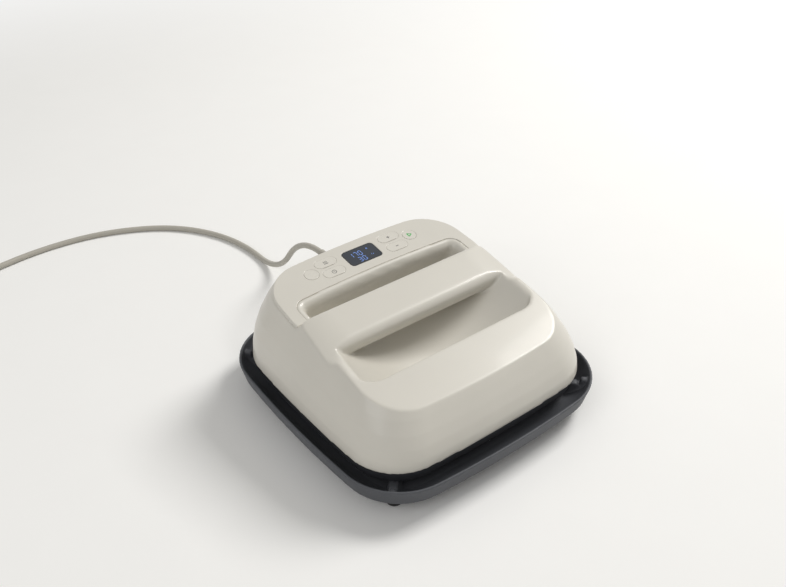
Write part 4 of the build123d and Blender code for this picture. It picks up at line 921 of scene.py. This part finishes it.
floor_curve = bpy.data.curves.new("floor_sheet", "CURVE")
floor_curve.dimensions = "2D"
floor_curve.fill_mode = "BOTH"
floor_curve.extrude = (FLOOR_THICKNESS / 2 - FLOOR_EDGE) * MM
floor_curve.bevel_depth = FLOOR_EDGE * MM
floor_curve.bevel_resolution = 1
closed_spline(floor_curve, floor_outline())
for ring, (radius, size) in enumerate(HOLE_RINGS):
    half_pitch = 0.5 * ((ring + 1) % 2)
    for index in range(HOLES_PER_RING):
        angle = math.radians((index + half_pitch) * 360 / HOLES_PER_RING)
        x, y = radius * math.cos(angle), radius * math.sin(angle)
        beside_support = abs(abs(x) - abs(y)) / math.sqrt(2) < SUPPORT_CLEARANCE
        if radius > HOLE_FIELD and beside_support:
            continue
        if max(abs(x), abs(y)) < HOLE_FIELD:
            hole = circle(size / 2, HOLE_SIDES)
            closed_spline(floor_curve, [(x + dx, y + dy) for dx, dy in hole])
floor_line = link("floor_sheet", floor_curve)
floor_mesh = bpy.data.meshes.new_from_object(floor_line)
bpy.data.objects.remove(floor_line)
floor_mesh.transform(Matrix.Translation((0, 0, (FLOOR_TOP - FLOOR_THICKNESS / 2) * MM)))
sheet = link("perforated_floor", floor_mesh)
dress(sheet, "base", "base_floor", replaces=("base_floor",))

# Strain relief: a ribbed boot that narrows away from the housing
BOOT_FLANGE = ((104.5, 4.0), (104.5, 8.0), (107.5, 8.0), (107.5, 6.2), (119.0, 6.2))
BOOT_RIBS = 6
BOOT_RIB_START = 120.5
BOOT_RIB_PITCH = 5.0
BOOT_RIB_RADIUS = 6.1
BOOT_NARROWING = 0.36
BOOT_RIB = ((0.0, 0.0), (0.4, 0.05), (2.6, -0.12), (3.0, -0.75), (4.4, -0.9))
BOOT_END = ((151.6, 4.1), (152.6, 4.0), (153.0, 3.6))
relief_profile = list(BOOT_FLANGE)
for rib in range(BOOT_RIBS):
    start = BOOT_RIB_START + rib * BOOT_RIB_PITCH
    radius = BOOT_RIB_RADIUS - BOOT_NARROWING * rib
    relief_profile += [(start + along, radius + rise) for along, rise in BOOT_RIB]
relief_profile += BOOT_END
relief_mesh = turned("strain_relief_boot", relief_profile)
boot_lift = Matrix.Translation((0, 0, CORD_EXIT_HEIGHT * MM))
relief_mesh.transform(boot_lift @ Matrix.Rotation(-math.pi / 2, 4, "X"))
relief = link("strain_relief_boot", relief_mesh)
dress(relief, "press", "strain_relief", replaces=("strain_relief",))

# Rubber feet under the corners
FOOT_REACH = 146.0
FOOT_SIDES = 32
FOOT_PROFILE = ((0.0, 5.6), (0.25, 6.3), (0.9, 6.9), (2.0, 7.0), (9.2, 7.0))
feet_mesh = bpy.data.meshes.new("rubber_feet")
for quarter in range(4):
    angle = math.radians(45 + 90 * quarter)
    reach = FOOT_REACH * MM
    foot = turned("foot", FOOT_PROFILE, FOOT_SIDES)
    foot.transform(Matrix.Translation((reach * math.cos(angle), reach * math.sin(angle), 0)))
    joined(feet_mesh, foot)
    bpy.data.meshes.remove(foot)
smooth(feet_mesh)
feet = link("rubber_feet", feet_mesh)
dress(feet, "base", "feet", replaces=("base_feet",))

# Plug: a ribbed neck on the cord's end and a rounded shell with finger hollows
PLUG_X = COIL_X - COIL_EXIT
NECK_LENGTH = 22.0
NECK_SIDES = 28
NECK_RIBS = 4
NECK_RIB_START = 3.0
NECK_RIB_PITCH = 4.4
NECK_WIDENING = 0.3
NECK_RIB = ((0.0, 4.1), (2.4, 4.25), (2.8, 3.7), (4.0, 3.8))
PLUG_HALF_WIDTH = 13.0
PLUG_CORNER = 5.5
PLUG_PROFILE = (
    (0, 4.0),
    (0.4, 1.6),
    (2.0, 0.3),
    (4.0, 0.05),
    (18, 0.05),
    (21, 0.9),
    (25, 0.9),
    (28, 0.05),
    (36.2, 0.05),
    (37.4, 0.5),
    (38.0, 1.4),
)
neck_profile = [(0, 3.7), (0.8, 4.0)]
for rib in range(NECK_RIBS):
    start = NECK_RIB_START + rib * NECK_RIB_PITCH
    neck_profile += [(start + along, radius + rib * NECK_WIDENING) for along, radius in NECK_RIB]
neck_profile += [(NECK_LENGTH, 5.4), (NECK_LENGTH + 1, 5.4)]
neck_mesh = turned("plug_neck", neck_profile, NECK_SIDES)
neck_place = Matrix.Translation((PLUG_X * MM, coil_y * MM, COIL_HIGH * MM))
neck_mesh.transform(neck_place @ Matrix.Rotation(-math.pi / 2, 4, "Y"))
neck = link("plug_neck", neck_mesh)
dress(neck, "base", "plug")


def upright(x, centre, outline):
    """A ring in metres that stands across the X axis."""
    return [(x * MM, (centre[0] + y) * MM, (centre[1] + z) * MM) for y, z in outline]


plug_rings = []
for distance, shrink in reversed(PLUG_PROFILE):
    outline = rounded(PLUG_HALF_WIDTH - shrink, COIL_HIGH - shrink, PLUG_CORNER)
    plug_rings.append(upright(PLUG_X - NECK_LENGTH - distance, (coil_y, COIL_HIGH), outline))
plug_mesh = lofted("plug_shell", plug_rings)
smooth(plug_mesh)
plug = link("plug_shell", plug_mesh)
dress(plug, "base", "plug", replaces=("plug_body",))

# Tie: a flat band round the coil, as places along it and insets
TIE_CORNER = 3.0
TIE_PROFILE = (
    (-4.0, 0.25),
    (-3.7, 0.0),
    (3.7, 0.0),
    (4.0, 0.25),
    (4.0, 0.95),
    (3.7, 1.15),
    (-3.7, 1.15),
    (-4.0, 0.95),
)
tie_low, tie_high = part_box("cord_tie")
tie_centre = ((tie_low[1] + tie_high[1]) / 2 / MM, (tie_low[2] + tie_high[2]) / 2 / MM)
tie_half = ((tie_high[1] - tie_low[1]) / 2 / MM, (tie_high[2] - tie_low[2]) / 2 / MM)
tie_rings = []
for x, inset in TIE_PROFILE:
    outline = rounded(tie_half[0] - inset, tie_half[1] - inset, TIE_CORNER - inset)
    tie_rings.append(upright(COIL_X + x, tie_centre, outline))
tie_mesh = lofted("tie_band", tie_rings, closed=True)
smooth(tie_mesh)
tie = link("tie_band", tie_mesh)
dress(tie, "base", "tie", replaces=("cord_tie",))


# Stage: a pale floor, a white surround and soft lamps
def joined_by(tree, operation, first, second):
    """The two sockets' values, joined by a mathematical operation."""
    node = tree.nodes.new("ShaderNodeMath")
    node.operation = operation
    tree.links.new(first, node.inputs[0])
    tree.links.new(second, node.inputs[1])
    return node.outputs["Value"]


def seen_rays(tree):
    """1 for rays that show the backdrop: straight, mirrored or through a clear piece."""
    rays = tree.nodes.new("ShaderNodeLightPath").outputs
    direct = joined_by(tree, "MAXIMUM", rays["Is Camera Ray"], rays["Is Glossy Ray"])
    return joined_by(tree, "MAXIMUM", direct, rays["Is Transmission Ray"])


def whitened(material, start, finish):
    """The floor is seen as white as the backdrop far from the object, from start to finish."""
    tree = material.node_tree
    output = next(node for node in tree.nodes if node.type == "OUTPUT_MATERIAL")
    own_surface = output.inputs["Surface"].links[0].from_socket
    place = tree.nodes.new("ShaderNodeTexCoord")
    reach = tree.nodes.new("ShaderNodeVectorMath")
    reach.operation = "LENGTH"
    share = tree.nodes.new("ShaderNodeMapRange")
    share.interpolation_type = "SMOOTHSTEP"
    share.inputs["From Min"].default_value = start
    share.inputs["From Max"].default_value = finish
    white = tree.nodes.new("ShaderNodeEmission")
    white.inputs["Color"].default_value = (1, 1, 1, 1)
    white.inputs["Strength"].default_value = 1.0
    mix = tree.nodes.new("ShaderNodeMixShader")
    tree.links.new(place.outputs["Object"], reach.inputs[0])
    tree.links.new(reach.outputs["Value"], share.inputs["Value"])
    part = joined_by(tree, "MULTIPLY", share.outputs["Result"], seen_rays(tree))
    tree.links.new(part, mix.inputs["Fac"])
    tree.links.new(own_surface, mix.inputs[1])
    tree.links.new(white.outputs["Emission"], mix.inputs[2])
    tree.links.new(mix.outputs["Shader"], output.inputs["Surface"])


STAGE_HALF = 6.0
WHITE_START = 0.85
WHITE_FINISH = 1.9
stage_corners = [(x * STAGE_HALF, y * STAGE_HALF, 0) for x, y in ((-1, -1), (1, -1), (1, 1), (-1, 1))]
floor_stage = bpy.data.meshes.new("stage_floor")
floor_stage.from_pydata(stage_corners, [], [(0, 1, 2, 3)])
ground = link("stage_floor", floor_stage)
ground_material = surface(
    "stage_white", (0.985, 0.985, 0.98), 0.9, vary=0.004, bump=0.0, specular=0.0
)
whitened(ground_material, WHITE_START, WHITE_FINISH)
ground.data.materials.append(ground_material)

FILL_COLOUR = (1.0, 0.985, 0.945, 1)
FILL_STRENGTH = 0.36
world = bpy.data.worlds.new("studio")
scene.world = world
world.use_nodes = True
tree = world.node_tree
tree.nodes.clear()
output = tree.nodes.new("ShaderNodeOutputWorld")
fill = tree.nodes.new("ShaderNodeBackground")
fill.inputs["Color"].default_value = FILL_COLOUR
fill.inputs["Strength"].default_value = FILL_STRENGTH
backdrop = tree.nodes.new("ShaderNodeBackground")
backdrop.inputs["Color"].default_value = (1, 1, 1, 1)
backdrop.inputs["Strength"].default_value = 1.0
mixed = tree.nodes.new("ShaderNodeMixShader")
tree.links.new(seen_rays(tree), mixed.inputs["Fac"])
tree.links.new(fill.outputs["Background"], mixed.inputs[1])
tree.links.new(backdrop.outputs["Background"], mixed.inputs[2])
tree.links.new(mixed.outputs["Shader"], output.inputs["Surface"])

LAMP_AIM = Vector((0, 0, 0.05))


def lamp(name, place, size, power, colour):
    """A square soft lamp that faces the object."""
    data = bpy.data.lights.new(name, "AREA")
    data.shape = "SQUARE"
    data.size = size
    data.energy = power
    data.color = colour
    light = link(name, data)
    place = Vector(place)
    turn = (LAMP_AIM - place).to_track_quat("-Z", "Y").to_matrix().to_4x4()
    light.matrix_world = Matrix.Translation(place) @ turn


lamp("key_lamp", (2.15, 0.02, 2.2), size=1.1, power=60, colour=(1.0, 0.985, 0.955))
lamp("left_lamp", (-1.9, -0.5, 1.6), size=1.5, power=12, colour=(1.0, 1.0, 1.0))

scene.view_settings.view_transform = "Standard"
